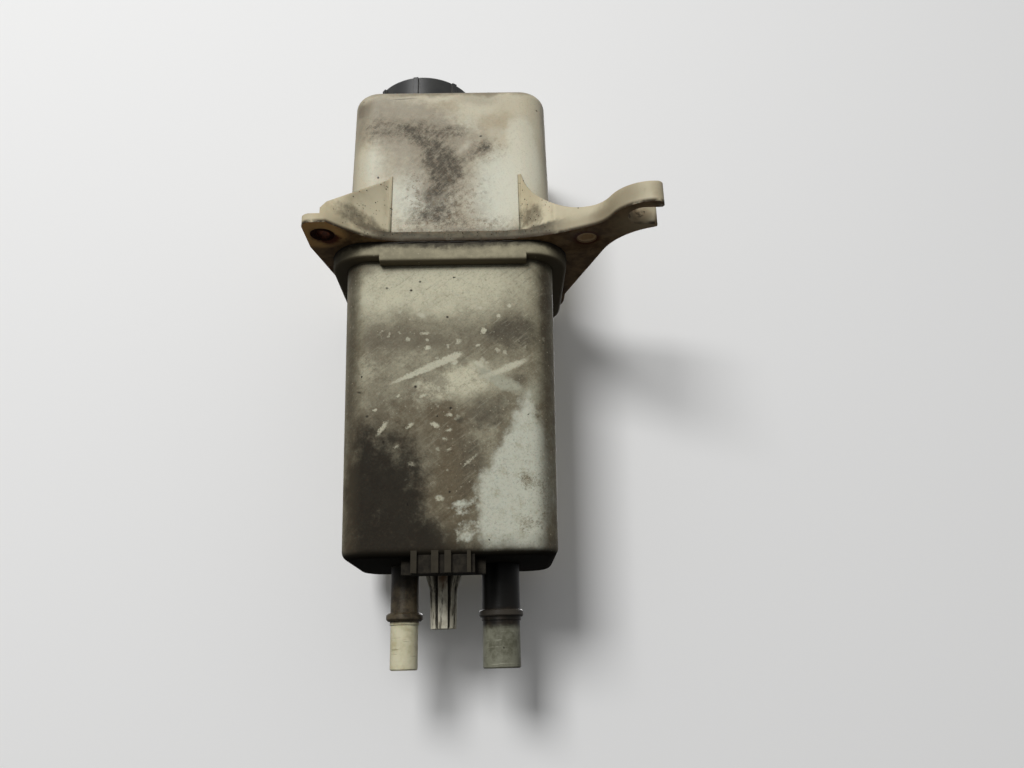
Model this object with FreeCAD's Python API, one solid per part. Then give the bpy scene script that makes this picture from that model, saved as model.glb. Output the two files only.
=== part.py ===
import FreeCAD, Part
import math
import os

from FreeCAD import Vector

# Power steering fluid reservoir. Millimetres, +Z up, cap on top, front face towards -Y.
# The real tank is two mouldings welded together. Here each is drawn as simpler solids that meet face to face.
# Every piece is drawn about the tank's own centre line, with Z = 0 on the weld seam between the two shells,
# and is moved at the end so that the origin is the axis of the ear bolt at the mounting plate's underside.

# Tank, outside sizes
seam_w = 87.2
seam_d = 66.0
corner_r = 12.0
wall = 2.5
upper_h = 79.8
upper_draft_deg = 0.6
lower_h = 126.7
lower_draft_deg = 1.05
top_edge_r = 4.5
floor_edge_r = 3.6

# Mounting plate, moulded on the upper shell
plate_t = 4.0
plate_side = 8.2
plate_front = 5.0
plate_corner_r = 17.0
collar_h = 5.8
collar_out = 4.4
collar_edge_r = 3.0
web_t = 3.0
plate_bend_r = 26.0

# Left ear: a tab that reaches forward, with a steel bush for the bolt
ear_side = 6.4
ear_ahead = 11.3
ear_out = 7.0
ear_front = 9.9
ear_back = 9.9
ear_taper_start = 25.0
ear_inner_side = 4.7
ear_web_tip_side = 5.7
ear_start_in = 15.6
ear_corner_r = 4.0
bush_r = 4.8
bolt_hole_r = 3.2
bush_gap = 0.1
left_web_in = 19.6
web_h = 34.2
web_end_h = 6.5
web_lean = 0.6
web_root_turn_deg = 45.0
left_web_root_r = 4.0

# Right arm: runs forward and outward to an open slot
arm_start_in = 27.6
arm_knee_side = 15.4
arm_knee_ahead = 15.6
arm_bend_side = 21.6
arm_bend_ahead = 22.4
arm_crest_side = 33.9
arm_crest_ahead = 32.6
arm_end_side = 40.9
arm_front_ahead = 32.3
arm_front_corner_r = 3.0
arm_small_corner_r = 1.2
arm_back_ahead = 13.8
arm_back_knee_side = 21.4
arm_back_knee_behind = 5.0
arm_back_start_behind = 48.0
arm_rim_h = 9.0
right_web_in = 14.1
right_web_root_r = 2.5
right_web_join_side = 3.9
right_web_low_side = 17.0
right_web_curve_r = 30.0
right_web_curve_deg = 8.0
slot_w = 12.6
slot_depth = 13.0
slot_front_rim = 3.7
eye_block = 17.0
disc_r = 4.0
disc_side = 13.4
disc_ahead = 5.4
disc_depth = 0.5

# Weld flange of the lower shell
ring_h = 6.5
ring_side = 5.9
ring_front = 4.5
ring_corner_r = 16.5
ring_pad_h = 8.7
ring_pad_left_in = 15.6
ring_pad_right_in = 11.6
ring_edge_r = 1.6

# Hose nozzles under the tank, placed by a share of its width
return_place = -0.2202
return_r = 5.4
return_bore_r = 3.9
supply_place = 0.2179
supply_r = 7.4
supply_bore_r = 5.6
nozzle_len = 39.6
shaft_extra_r = 0.2
return_bead_r = 7.25
return_bead_z = 18.2
return_bead_h = 3.1
supply_bead_r = 8.75
supply_bead_z = 17.7
supply_bead_h = 2.7
step_h = 1.4
step_extra_r = 0.35
nozzle_chamfer = 0.5
bead_edge_share = 0.45

# Locating peg under the tank
peg_x = -3.8
peg_len = 24.5
peg_tip_r = 5.1
peg_waist_r = 5.6
peg_root_r = 7.4
peg_waist_drop = 9.5
peg_flare_drop = 3.4
peg_core_r = 3.7
peg_rib_w = 3.8
peg_small_rib_w = 1.7

# Ribbed foot pad under the front edge
pad_x0 = -14.0
pad_x1 = 9.7
pad_drop = 6.0
pad_depth = 10.7
pad_groove = 1.3
pad_rib_spans = ((-14.0, -11.7), (-6.4, -3.7), (-1.5, 1.0), (6.8, 8.3))
pad_rib_rise = 2.2
pad_block_x0 = -18.1
pad_block_x1 = 13.6
pad_block_setback = 6.0

# Filler neck and cap
cap_x = -13.0
neck_r = 19.9
neck_bore_r = 17.8
neck_ledge_r = 16.0
neck_ledge_drop = 1.2
cap_r = 23.2
cap_rib_count = 8
cap_rib_phase_deg = -97.0
cap_rib_w = 2.2
cap_rib_out = 0.8
cap_top = 14.8
cap_top_t = 2.4
cap_wall = 1.7
cap_foot_gap = 1.6
cap_bevel = 1.4
snap_bead_r = 20.4
snap_bead_h = 0.7
running_gap = 0.3
seal_t = 2.0
seal_w = 2.6
seat_gap = 0.1
push_gap = 0.05
insert_flange_r = 20.9
insert_flange_t = 2.4
plug_gap = 0.4
plug_h = 5.0
plug_wall = 2.0
insert_boss_r = 4.2
insert_boss_h = 7.0
vent_hole_r = 1.0
vent_ring_r = 8.0
vent_hole_count = 6
valve_in_r = 6.0
valve_out_r = 10.4
valve_t = 0.6
felt_t = 0.9

# Dipstick, pushed into the insert's boss
stick_stem_r = 2.2
stick_len = 50.0
stick_w = 6.0
stick_t = 1.8
stick_grid_h = 20.0
stick_notch = 0.5
stick_notch_h = 1.2
stick_notch_pitch = 3.0

# Filler strainer, hung in the neck
strainer_gap = 0.2
strainer_rim_t = 1.8
strainer_r = 15.4
strainer_wall = 1.6
strainer_len = 58.0
strainer_rib_count = 4
strainer_rib_w = 3.6
strainer_hoop = 3.0
mesh_t = 0.45
mesh_gap = 0.05
mesh_hole = 2.2
mesh_cols = 12
mesh_rows = 7

# Baffle plate, laid on the ledges of the lower shell
baffle_z = -30.0
baffle_t = 2.0
baffle_gap = 0.5
baffle_hole_r = 3.2
baffle_pitch = 13.0
baffle_edge = 3.0
ledge_w = 6.0
ledge_l = 8.0

# Return filter, over the return standpipe
pipe_r = 7.0
pipe_shoulder_r = 9.5
pipe_shoulder_h = 6.0
pipe_h = 12.0
filter_share = 0.19
filter_plate_t = 3.0
filter_core_r = 9.6
filter_core_wall = 1.2
filter_screen_in = 0.97
filter_screen_t = 0.7
filter_spigot_r = 4.0
filter_spigot_h = 3.0
filter_gap = 0.3
filter_bore_gap = 0.15
filter_seal_w = 1.6
filter_seal_h = 2.0
core_hole_r = 1.6
core_hole_cols = 8
core_hole_rows = 7
screen_hole = 2.6
screen_cols = 16
screen_rows = 6

# Outlet strainer over the supply nozzle
outlet_r = 11.0
outlet_h = 20.0
outlet_wall = 1.5
outlet_collar_w = 1.6
outlet_collar_h = 3.0
outlet_gap = 0.15
outlet_rib_w = 3.0
outlet_rib_count = 4
outlet_mesh_cols = 12
outlet_mesh_rows = 3

# Swarf magnet in its pocket on the tank floor
magnet_place = 0.2576
magnet_r = 6.5
magnet_t = 4.0
pocket_wall = 1.6
pocket_h = 5.6
pocket_gap = 0.15
clip_t = 0.6
clip_hole_r = 3.0

# For cutting blocks: a length past anything here, how far a cut runs past a face, and next to nothing
reach = 200.0
over = 1.0
tiny = 1e-6

# Places worked out from the sizes above
side_x = seam_w / 2
front_y = -seam_d / 2
inner_w = seam_w - 2 * wall
inner_d = seam_d - 2 * wall
ear_x = -side_x - ear_side
ear_y = front_y - ear_ahead
ear_inner_x = -side_x - ear_inner_side
ear_web_tip_x = -side_x - ear_web_tip_side
ear_start_x = -side_x + ear_start_in
left_web_x = -side_x + left_web_in
arm_start_x = side_x - arm_start_in
arm_knee = Vector(side_x + arm_knee_side, front_y - arm_knee_ahead, 0)
arm_bend = Vector(side_x + arm_bend_side, front_y - arm_bend_ahead, 0)
arm_crest = Vector(side_x + arm_crest_side, front_y - arm_crest_ahead, 0)
arm_end_x = side_x + arm_end_side
arm_front_y = front_y - arm_front_ahead
arm_back_y = front_y - arm_back_ahead
arm_back_knee = Vector(side_x + arm_back_knee_side, front_y + arm_back_knee_behind, 0)
arm_back_start_y = front_y + arm_back_start_behind
right_web_x = side_x - right_web_in
right_web_join_x = side_x + right_web_join_side
right_web_low_x = side_x + right_web_low_side
disc_x = side_x + disc_side
disc_y = front_y - disc_ahead
ring_pad_x0 = -side_x + ring_pad_left_in
ring_pad_x1 = side_x - ring_pad_right_in
return_x = seam_w * return_place
supply_x = seam_w * supply_place
filter_r = seam_w * filter_share
filter_screen_r = filter_r - filter_screen_in
magnet_y = seam_d * magnet_place
plate_edge_y = front_y - plate_front
plate_side_x = side_x + plate_side
plate_cut_x = side_x - corner_r / 2
ear_front_y = ear_y - ear_front
ear_out_x = ear_x - ear_out
upper_shrink = upper_h * math.tan(math.radians(upper_draft_deg))
lower_shrink = lower_h * math.tan(math.radians(lower_draft_deg))
floor_z = -lower_h
floor_top = floor_z + wall
nozzle_end = floor_z - nozzle_len
cap_top_z = upper_h + cap_top
ceiling_z = cap_top_z - cap_top_t
flange_top = ceiling_z - running_gap
flange_low = flange_top - insert_flange_t
neck_top = flange_low - seal_t
ledge_z = upper_h - neck_ledge_drop
plug_r = neck_bore_r - plug_gap
filter_low = floor_top + pipe_shoulder_h
filter_high = baffle_z - filter_gap
screen_low = filter_low + filter_plate_t
screen_high = filter_high - filter_plate_t
valve_seat = flange_top - valve_t - felt_t


def box(x0, y0, z0, x1, y1, z1):
    """Solid box between two corners."""
    return Part.makeBox(x1 - x0, y1 - y0, z1 - z0, Vector(x0, y0, z0))


def rod(r, z0, z1, x=0.0, y=0.0):
    """Upright cylinder between two heights."""
    return Part.makeCylinder(r, z1 - z0, Vector(x, y, z0))


def pipe(r_out, r_in, z0, z1, x=0.0, y=0.0):
    """Upright tube between two heights."""
    return rod(r_out, z0, z1, x, y).cut(rod(r_in, z0, z1, x, y))


def turned(points, x=0.0, y=0.0):
    """Solid of revolution about the upright line at x, y, from (radius, height) points."""
    wire = Part.makePolygon([Vector(x + r, y, z) for r, z in points + points[:1]])
    return Part.Face(wire).revolve(Vector(x, y, 0), Vector(0, 0, 1), 360)


def rounded_rectangle(w, d, r, z):
    """Closed wire of a rectangle with round corners, centred on the tank's line."""
    hx = w / 2
    hy = d / 2
    k = r * (1 - math.sqrt(0.5))
    edges = []
    for sx, sy in ((1, -1), (1, 1), (-1, 1), (-1, -1)):
        ends = [Vector(sx * (hx - r), sy * hy, z), Vector(sx * hx, sy * (hy - r), z)]
        if sx * sy > 0:
            ends.reverse()
        mid = Vector(sx * (hx - k), sy * (hy - k), z)
        edges.append(Part.Arc(ends[0], mid, ends[1]).toShape())
    loop = []
    for i, arc in enumerate(edges):
        after = edges[(i + 1) % 4]
        loop += [arc, Part.makeLine(arc.lastVertex().Point, after.firstVertex().Point)]
    return Part.Wire(loop)


def edges_at(shape, z):
    """Edges that lie flat at one height."""
    return [e for e in shape.Edges if abs(e.BoundBox.ZMin - z) + abs(e.BoundBox.ZMax - z) < tiny]


def drafted(w, d, r, z0, z1, shrink, edge_r):
    """Block whose sides lean in from z0 to z1, with its end edges rounded."""
    low = rounded_rectangle(w, d, r, z0)
    high = rounded_rectangle(w - 2 * shrink, d - 2 * shrink, r, z1)
    block = Part.makeLoft([low, high], True, True)
    return block.makeFillet(edge_r, edges_at(block, z1))


def spun(shape, turn_deg, x=0.0, y=0.0):
    """Shape turned about the upright line through the origin, then moved to x, y."""
    shape.rotate(Vector(0, 0, 0), Vector(0, 0, 1), turn_deg)
    shape.translate(Vector(x, y, 0))
    return shape


def quarter_arc(centre, r, turn_deg):
    """Quarter of a circle, from one angle on to the next square one."""
    points = []
    for step in (0, 45, 90):
        a = math.radians(turn_deg + step)
        points.append(Vector(centre.x + r * math.cos(a), centre.y + r * math.sin(a), 0))
    return Part.Arc(*points).toShape()


def tangent_arc(start, heading_deg, end):
    """Arc that leaves start along a heading and ends at end."""
    chord = end.sub(start)
    half = math.atan2(chord.y, chord.x) - math.radians(heading_deg)
    bow = chord.Length / 2 * math.tan(half / 2)
    side = Vector(chord.y, -chord.x, 0).normalize()
    middle = start.add(end).multiply(0.5).add(side.multiply(bow))
    return Part.Arc(start, middle, end).toShape()


def last_heading(start, heading_deg, end):
    """Heading at the end of the arc above."""
    chord = end.sub(start)
    return 2 * math.degrees(math.atan2(chord.y, chord.x)) - heading_deg


def chained(edges):
    """The edges, with a straight line across each gap between one and the next, as one closed wire."""
    loop = []
    for edge, after in zip(edges, edges[1:] + edges[:1]):
        loop.append(edge)
        a = edge.lastVertex().Point
        b = after.firstVertex().Point
        if a.distanceToPoint(b) > tiny:
            loop.append(Part.makeLine(a, b))
    return Part.Wire(loop)


def polygon(points):
    """Closed wire of straight lines."""
    return Part.makePolygon(points + points[:1])


def plate_outline():
    """Outline of the mounting plate with its ear and arm, as one closed wire."""
    back_y = seam_d / 2 + plate_front
    tip_back = Vector(arm_end_x, arm_back_y, 0)
    front = []
    heading = 0.0
    tip_front = Vector(arm_end_x, arm_front_y, 0)
    stops = [Vector(arm_start_x, plate_edge_y, 0), arm_knee, arm_bend, arm_crest, tip_front]
    for start, end in zip(stops, stops[1:]):
        front.append(tangent_arc(start, heading, end))
        heading = last_heading(start, heading, end)
    back_start = Vector(plate_side_x, arm_back_start_y, 0)
    lean = arm_back_knee.sub(back_start)
    dip = tangent_arc(arm_back_knee, math.degrees(math.atan2(lean.y, lean.x)), tip_back)
    hollow = Part.Arc(tip_back, dip.valueAt(sum(dip.ParameterRange) / 2), arm_back_knee).toShape()
    far = plate_side_x - plate_corner_r
    right_corner = quarter_arc(Vector(far, back_y - plate_corner_r, 0), plate_corner_r, 0)
    left_corner = quarter_arc(Vector(-far, back_y - plate_corner_r, 0), plate_corner_r, 90)
    taper = Part.makeLine(
        Vector(-plate_side_x, front_y + ear_taper_start, 0), Vector(ear_out_x, ear_y + ear_back, 0)
    )
    ear_tip = Vector(ear_out_x + ear_corner_r, ear_front_y + ear_corner_r, 0)
    ear_corner = quarter_arc(ear_tip, ear_corner_r, 180)
    ear_inner = Vector(ear_inner_x, ear_front_y, 0)
    run = Vector(ear_start_x, plate_edge_y, 0).sub(ear_inner)
    run_deg = math.degrees(math.atan2(run.y, run.x))
    bend_in = plate_bend_r * math.tan(math.radians(run_deg / 2))
    bend_start = ear_inner.add(Vector(run).multiply(1 - bend_in / run.Length))
    bend = tangent_arc(bend_start, run_deg, Vector(ear_start_x + bend_in, plate_edge_y, 0))
    arm_back = Part.makeLine(arm_back_knee, back_start)
    ear_run = Part.makeLine(ear_inner, bend_start)
    return chained(front + [hollow, arm_back, right_corner, left_corner, taper, ear_corner, ear_run, bend])


def web(area, side, lean):
    """Upright web: an area less the same area moved back, cut to a side profile."""
    block = area.extrude(Vector(0, 0, web_h))
    back = block.translated(Vector(lean * web_t, web_t, 0))
    face = Part.Face(side)
    face.translate(Vector(0, -reach / 2, 0))
    return block.cut(back).common(face.extrude(Vector(0, reach, 0)))


def web_root(x, r, side):
    """Round corner that leads a web off the front face; gives the edge and its far end."""
    points = [Vector(x, front_y, 0)]
    for share in (0.5, 1.0):
        a = math.radians(web_root_turn_deg * share)
        points.append(Vector(x + side * r * math.sin(a), front_y - r * (1 - math.cos(a)), 0))
    return Part.Arc(*points).toShape(), points[-1]


def left_web():
    """Straight web from the front face out to the ear, on the plate's front edge."""
    root, bend = web_root(left_web_x, left_web_root_r, -1)
    tip = Vector(ear_web_tip_x, bend.y - (bend.x - ear_web_tip_x), 0)
    far = Part.makeLine(Vector(ear_web_tip_x, 0, 0), Vector(left_web_x, 0, 0))
    area = Part.Face(chained([root, Part.makeLine(bend, tip), far]))
    side = polygon([
        Vector(left_web_x, 0, 0),
        Vector(left_web_x, 0, web_h),
        Vector(ear_web_tip_x, 0, web_end_h),
        Vector(ear_web_tip_x, 0, 0),
    ])
    run = box(ear_web_tip_x, ear_front_y, 0, left_web_x, front_y + wall, web_h)
    return web(area, side, -web_lean).common(run)


def plate_edge_at(x):
    """Place of the plate's front edge at x, on the arc that leads to the arm's knee."""
    turn = 2 * math.atan2(plate_edge_y - arm_knee.y, arm_knee.x - arm_start_x)
    r = (arm_knee.x - arm_start_x) / math.sin(turn)
    return Vector(x, plate_edge_y - r + math.sqrt(r * r - (x - arm_start_x) ** 2), 0)


def right_web():
    """Web that curves off the front face, then follows the plate's front edge out along the arm."""
    root, bend = web_root(right_web_x, right_web_root_r, 1)
    join = plate_edge_at(right_web_join_x)
    sweep = tangent_arc(bend, -web_root_turn_deg, join)
    clear_y = arm_front_y - over
    front_line = Part.makeLine(Vector(join.x, clear_y, 0), Vector(arm_end_x, clear_y, 0))
    back_line = Part.makeLine(Vector(arm_end_x, 0, 0), Vector(right_web_x, 0, 0))
    plan = Part.Face(chained([root, sweep, front_line, back_line]))
    area = plan.common(Part.Face(plate_outline())).Faces[0]
    curve = []
    for share in (0.0, 0.5, 1.0):
        a = math.radians(180 + right_web_curve_deg + share * (90 - right_web_curve_deg))
        x = right_web_low_x + right_web_curve_r * math.cos(a)
        curve.append(Vector(x, 0, arm_rim_h + right_web_curve_r * (1 + math.sin(a))))
    tail = Part.makeLine(Vector(arm_end_x, 0, arm_rim_h), Vector(arm_end_x, 0, 0))
    head = Part.makeLine(Vector(right_web_x, 0, 0), Vector(right_web_x, 0, web_h))
    side = chained([Part.Arc(*curve).toShape(), tail, head])
    return web(area, side, web_lean).common(box(right_web_x, -reach / 2, 0, arm_end_x, front_y + wall, web_h))


def arm():
    """Rims and end block of the arm."""
    outline = plate_outline()
    whole = Part.Face(outline)
    rim = whole.cut(Part.Face(outline.makeOffset2D(-web_t))).extrude(Vector(0, 0, arm_rim_h))
    rims = rim.common(box(plate_side_x, -reach / 2, 0, reach / 2, arm_back_knee.y, arm_rim_h))
    eye = whole.extrude(Vector(0, 0, arm_rim_h))
    eye = eye.common(box(arm_end_x - eye_block, -reach / 2, 0, reach / 2, 0, arm_rim_h))
    return rims.fuse(eye)


def arm_slot():
    """Open slot with a round inner end."""
    half = slot_w / 2
    y = arm_front_y + slot_front_rim + half
    x = arm_end_x - slot_depth + half
    top = arm_rim_h + over
    return rod(half, -over, top, x, y).fuse(box(x, y - half, -over, arm_end_x + over, y + half, top))


def upper_skin():
    """Outside of the tank's upper half, as a solid block."""
    return drafted(seam_w, seam_d, corner_r, 0, upper_h, upper_shrink, top_edge_r)


def upper_shell():
    """Upper half of the tank, open below, with the filler hole in its top."""
    hollow = drafted(inner_w, inner_d, corner_r - wall, 0, upper_h - wall, upper_shrink, top_edge_r - wall)
    body = upper_skin().cut([
        hollow,
        rod(neck_ledge_r, upper_h - 2 * wall, upper_h + over, cap_x, 0),
        rod(neck_bore_r, ledge_z, upper_h + over, cap_x, 0),
    ])
    return body.removeSplitter()


def filler_neck():
    """Short neck around the filler hole."""
    return pipe(neck_r, neck_bore_r, upper_h, neck_top, cap_x, 0)


def mount_plate(x0, y0, x1, y1):
    """Plate around the tank with its webs and collar; the part of it between two corners in plan."""
    plate = Part.Face(plate_outline()).extrude(Vector(0, 0, plate_t))
    rim_w = seam_w + 2 * collar_out
    rim_d = seam_d + 2 * collar_out
    collar = drafted(rim_w, rim_d, corner_r + collar_out, 0, collar_h, 0.0, collar_edge_r)
    body = plate.fuse([collar, left_web(), right_web(), arm()])
    body = body.cut([
        upper_skin(),
        rod(bush_r + bush_gap, -over, web_h, ear_x, ear_y),
        rod(disc_r, -over, disc_depth, disc_x, disc_y),
        arm_slot(),
    ])
    return body.common(box(x0, y0, 0, x1, y1, web_h)).removeSplitter()


def front_plate():
    """Front run of the plate, with the roots of both webs."""
    return mount_plate(-plate_cut_x, -reach, plate_cut_x, 0)


def back_plate():
    """Back run of the plate."""
    return mount_plate(-plate_cut_x, 0, plate_cut_x, reach)


def ear_plate():
    """Left side of the plate, with the ear."""
    return mount_plate(-reach, -reach, -plate_cut_x, reach)


def arm_plate():
    """Right side of the plate, with the arm, whose upright edges are rounded at its end."""
    side = mount_plate(plate_cut_x, -reach, reach, reach)
    tip = [e for e in side.Edges if abs(e.BoundBox.XMin - arm_end_x) < tiny and e.BoundBox.ZLength > plate_t]
    tip.sort(key=lambda e: e.BoundBox.YMin)
    side = side.makeFillet(arm_front_corner_r, tip[:1])
    tip = [e for e in side.Edges if abs(e.BoundBox.XMin - arm_end_x) < tiny and e.BoundBox.ZLength > plate_t]
    tip.sort(key=lambda e: e.BoundBox.YMin)
    return side.makeFillet(arm_small_corner_r, tip[1:])


def ear_bush():
    """Steel sleeve that takes the bolt's clamping load in the ear."""
    return pipe(bush_r, bolt_hole_r, 0, plate_t, ear_x, ear_y)


def nozzle(x, r, bore_r, bead_r, bead_z, bead_h):
    """Hose nozzle below the tank floor: plain shaft, hose stop bead, a low step and the hose seat."""
    shaft = r + shaft_extra_r
    bead_top = floor_z - bead_z
    bead_low = bead_top - bead_h
    soft = (bead_r - shaft) * bead_edge_share
    return turned([
        (bore_r, floor_z),
        (shaft, floor_z),
        (shaft, bead_top),
        (bead_r - soft, bead_top),
        (bead_r, bead_top - soft),
        (bead_r, bead_low + soft),
        (bead_r - soft, bead_low),
        (r + step_extra_r, bead_low),
        (r + step_extra_r, bead_low - step_h),
        (r, bead_low - step_h),
        (r, nozzle_end + nozzle_chamfer),
        (r - nozzle_chamfer, nozzle_end),
        (bore_r, nozzle_end),
    ], x)


def supply_nozzle():
    """Large nozzle, for the hose to the pump."""
    return nozzle(supply_x, supply_r, supply_bore_r, supply_bead_r, supply_bead_z, supply_bead_h)


def return_nozzle():
    """Small nozzle, for the hose that brings the fluid back."""
    return nozzle(return_x, return_r, return_bore_r, return_bead_r, return_bead_z, return_bead_h)


def return_standpipe():
    """Pipe on the tank floor over the return nozzle, with a shoulder that carries the filter."""
    shoulder = pipe(pipe_shoulder_r, return_bore_r, floor_top, filter_low, return_x, 0)
    stand = pipe(pipe_r, return_bore_r, floor_top, floor_top + pipe_h, return_x, 0)
    return shoulder.fuse(stand).removeSplitter()


def locating_peg():
    """Tapered locating peg of crossed ribs on a round core, flared where it meets the floor."""
    tip = floor_z - peg_len
    envelope = turned([
        (0, floor_z),
        (peg_root_r, floor_z),
        (peg_root_r, floor_z - peg_flare_drop),
        (peg_waist_r, floor_z - peg_waist_drop),
        (peg_tip_r, tip),
        (0, tip),
    ])
    solid = rod(peg_core_r, tip, floor_z)
    for turn, width in ((0, peg_rib_w), (90, peg_rib_w), (45, peg_small_rib_w), (135, peg_small_rib_w)):
        slab = box(-peg_root_r, -width / 2, tip, peg_root_r, width / 2, floor_z)
        solid = solid.fuse(spun(slab, turn))
    return spun(solid.common(envelope), 0, peg_x)


def lower_skin():
    """Outside of the tank's lower half, as a solid block."""
    return drafted(seam_w, seam_d, corner_r, 0, floor_z, lower_shrink, floor_edge_r)


def foot_pad():
    """Block under the front edge, grooved between upright ribs, with a set-back block at each end."""
    front = front_y + lower_shrink
    back = front + pad_depth
    low = floor_z - pad_drop
    rib_top = floor_z + pad_rib_rise
    pad = box(pad_x0, front + pad_groove, low, pad_x1, back, rib_top)
    blocks = box(pad_block_x0, front + pad_block_setback, low, pad_block_x1, back, floor_z)
    ribs = [box(x0, front, low, x1, front + 2 * pad_groove, rib_top) for x0, x1 in pad_rib_spans]
    return pad.fuse([blocks] + ribs).cut(lower_skin()).removeSplitter()


def weld_flange():
    """Bead around the tank below the seam, deeper along the middle of the front."""
    w = seam_w + 2 * ring_side
    d = seam_d + 2 * ring_front
    bead = drafted(w, d, ring_corner_r, 0, -ring_h, 0.0, ring_edge_r)
    pad_front = front_y - ring_front
    pad = box(ring_pad_x0, pad_front, -ring_pad_h, ring_pad_x1, front_y + wall, -ring_edge_r)
    low = [e for e in edges_at(pad, -ring_pad_h) if e.BoundBox.YMax - pad_front < tiny]
    return bead.fuse(pad.makeFillet(ring_edge_r, low)).cut(lower_skin()).removeSplitter()


def ledges():
    """Four shelves up the side walls that the baffle plate lies on."""
    reach_in = side_x - wall - ledge_l
    shelves = []
    for x0, x1 in ((-side_x, -reach_in), (reach_in, side_x)):
        for y in (-seam_d / 4, seam_d / 4):
            shelves.append(box(x0, y - ledge_w / 2, floor_z, x1, y + ledge_w / 2, baffle_z))
    return shelves


def lower_shell():
    """Lower half of the tank, open above, with shelves, a collar and a magnet pocket inside."""
    hollow = drafted(inner_w, inner_d, corner_r - wall, 0, floor_top, lower_shrink, floor_edge_r - wall)
    collar_r = outlet_r + outlet_gap
    pocket_r = magnet_r + pocket_gap
    inside = [shelf.common(hollow) for shelf in ledges()] + [
        pipe(collar_r + outlet_collar_w, collar_r, floor_top, floor_top + outlet_collar_h, supply_x, 0),
        pipe(pocket_r + pocket_wall, pocket_r, floor_top, floor_top + pocket_h, 0, magnet_y),
    ]
    body = lower_skin().cut(hollow).fuse(inside)
    body = body.cut([
        rod(return_bore_r, floor_z - over, floor_top + over, return_x, 0),
        rod(supply_bore_r, floor_z - over, floor_top + over, supply_x, 0),
    ])
    return body.removeSplitter()


def cap_shell():
    """Screw cap: a skirt with grip ribs, a bevelled top edge, and a bead inside that holds the insert."""
    foot = upper_h + cap_foot_gap
    inner = cap_r - cap_wall
    bead_top = flange_low - running_gap
    bead_low = bead_top - snap_bead_h
    cap = turned([
        (0, cap_top_z),
        (cap_r - cap_bevel, cap_top_z),
        (cap_r, cap_top_z - cap_bevel),
        (cap_r, foot),
        (inner, foot),
        (inner, bead_low - (inner - snap_bead_r)),
        (snap_bead_r, bead_low),
        (snap_bead_r, bead_top),
        (inner, bead_top),
        (inner, ceiling_z),
        (0, ceiling_z),
    ], cap_x)
    rib_top = cap_top_z - cap_bevel
    ribs = []
    for i in range(cap_rib_count):
        rib = box(cap_r - cap_wall / 2, -cap_rib_w / 2, foot, cap_r + cap_rib_out, cap_rib_w / 2, rib_top)
        ribs.append(spun(rib, cap_rib_phase_deg + i * 360 / cap_rib_count, cap_x))
    return cap.fuse(ribs).removeSplitter()


def cap_insert():
    """Disc held in the cap, with a plug into the neck bore, vent holes and a boss for the dipstick."""
    body = rod(insert_flange_r, flange_low, flange_top, cap_x, 0)
    body = body.fuse(pipe(plug_r, plug_r - plug_wall, flange_low - plug_h, flange_low, cap_x, 0))
    body = body.fuse(rod(insert_boss_r, flange_low - insert_boss_h, flange_low, cap_x, 0))
    tools = [
        pipe(valve_out_r + seat_gap, valve_in_r - seat_gap, valve_seat, flange_top + over, cap_x, 0),
        rod(stick_stem_r + push_gap, flange_low - insert_boss_h - over, flange_low, cap_x, 0),
    ]
    for i in range(vent_hole_count):
        turn = 2 * math.pi * i / vent_hole_count
        x = cap_x + vent_ring_r * math.cos(turn)
        y = vent_ring_r * math.sin(turn)
        tools.append(rod(vent_hole_r, flange_low - over, flange_top + over, x, y))
    return body.cut(tools)


def cap_seal():
    """Flat rubber ring between the insert's flange and the neck's rim."""
    return pipe(plug_r + seal_w, plug_r + push_gap, flange_low - seal_t, flange_low, cap_x, 0)


def cap_vent_valve():
    """Thin rubber ring that lies over the vent holes."""
    return pipe(valve_out_r, valve_in_r, valve_seat, valve_seat + valve_t, cap_x, 0)


def cap_vent_felt():
    """Felt ring over the vent valve."""
    return pipe(valve_out_r, valve_in_r, flange_top - felt_t, flange_top, cap_x, 0)


def dipstick():
    """Flat blade on a round stem, with notches across its lower end."""
    low = flange_low - stick_len
    boss_low = flange_low - insert_boss_h
    stick = rod(stick_stem_r, boss_low - stick_w / 2, flange_low, cap_x, 0)
    blade = box(-stick_w / 2, -stick_t / 2, low, stick_w / 2, stick_t / 2, boss_low - push_gap)
    stick = stick.fuse(spun(blade, 0, cap_x))
    notches = []
    for i in range(int(stick_grid_h / stick_notch_pitch)):
        z = low + (i + 1) * stick_notch_pitch
        notch = box(-stick_w, -stick_t, z, stick_w, -stick_t / 2 + stick_notch, z + stick_notch_h)
        notches.append(spun(notch, 0, cap_x))
    return stick.cut(notches)


def between_ribs(r, z0, z1, count, rib_w, x):
    """Round block less crossed slabs, which cuts a tube into upright ribs of one width."""
    block = rod(r, z0, z1)
    for i in range(count // 2):
        slab = box(-r - over, -rib_w / 2, z0 - over, r + over, rib_w / 2, z1 + over)
        block = block.cut(spun(slab, (i + 0.5) * 360 / count))
    return spun(block, 0, x)


def screen(r_out, thick, z0, z1, cols, rows, hole, x):
    """Thin tube with rows of square openings."""
    tube = pipe(r_out, r_out - thick, z0, z1, x, 0)
    step = (z1 - z0) / rows
    tools = []
    for i in range(cols // 2):
        for k in range(rows):
            z = z0 + (k + 0.5) * step
            tool = box(-r_out - over, -hole / 2, z - hole / 2, r_out + over, hole / 2, z + hole / 2)
            tools.append(spun(tool, i * 360 / cols, x))
    return tube.cut(tools)


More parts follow.
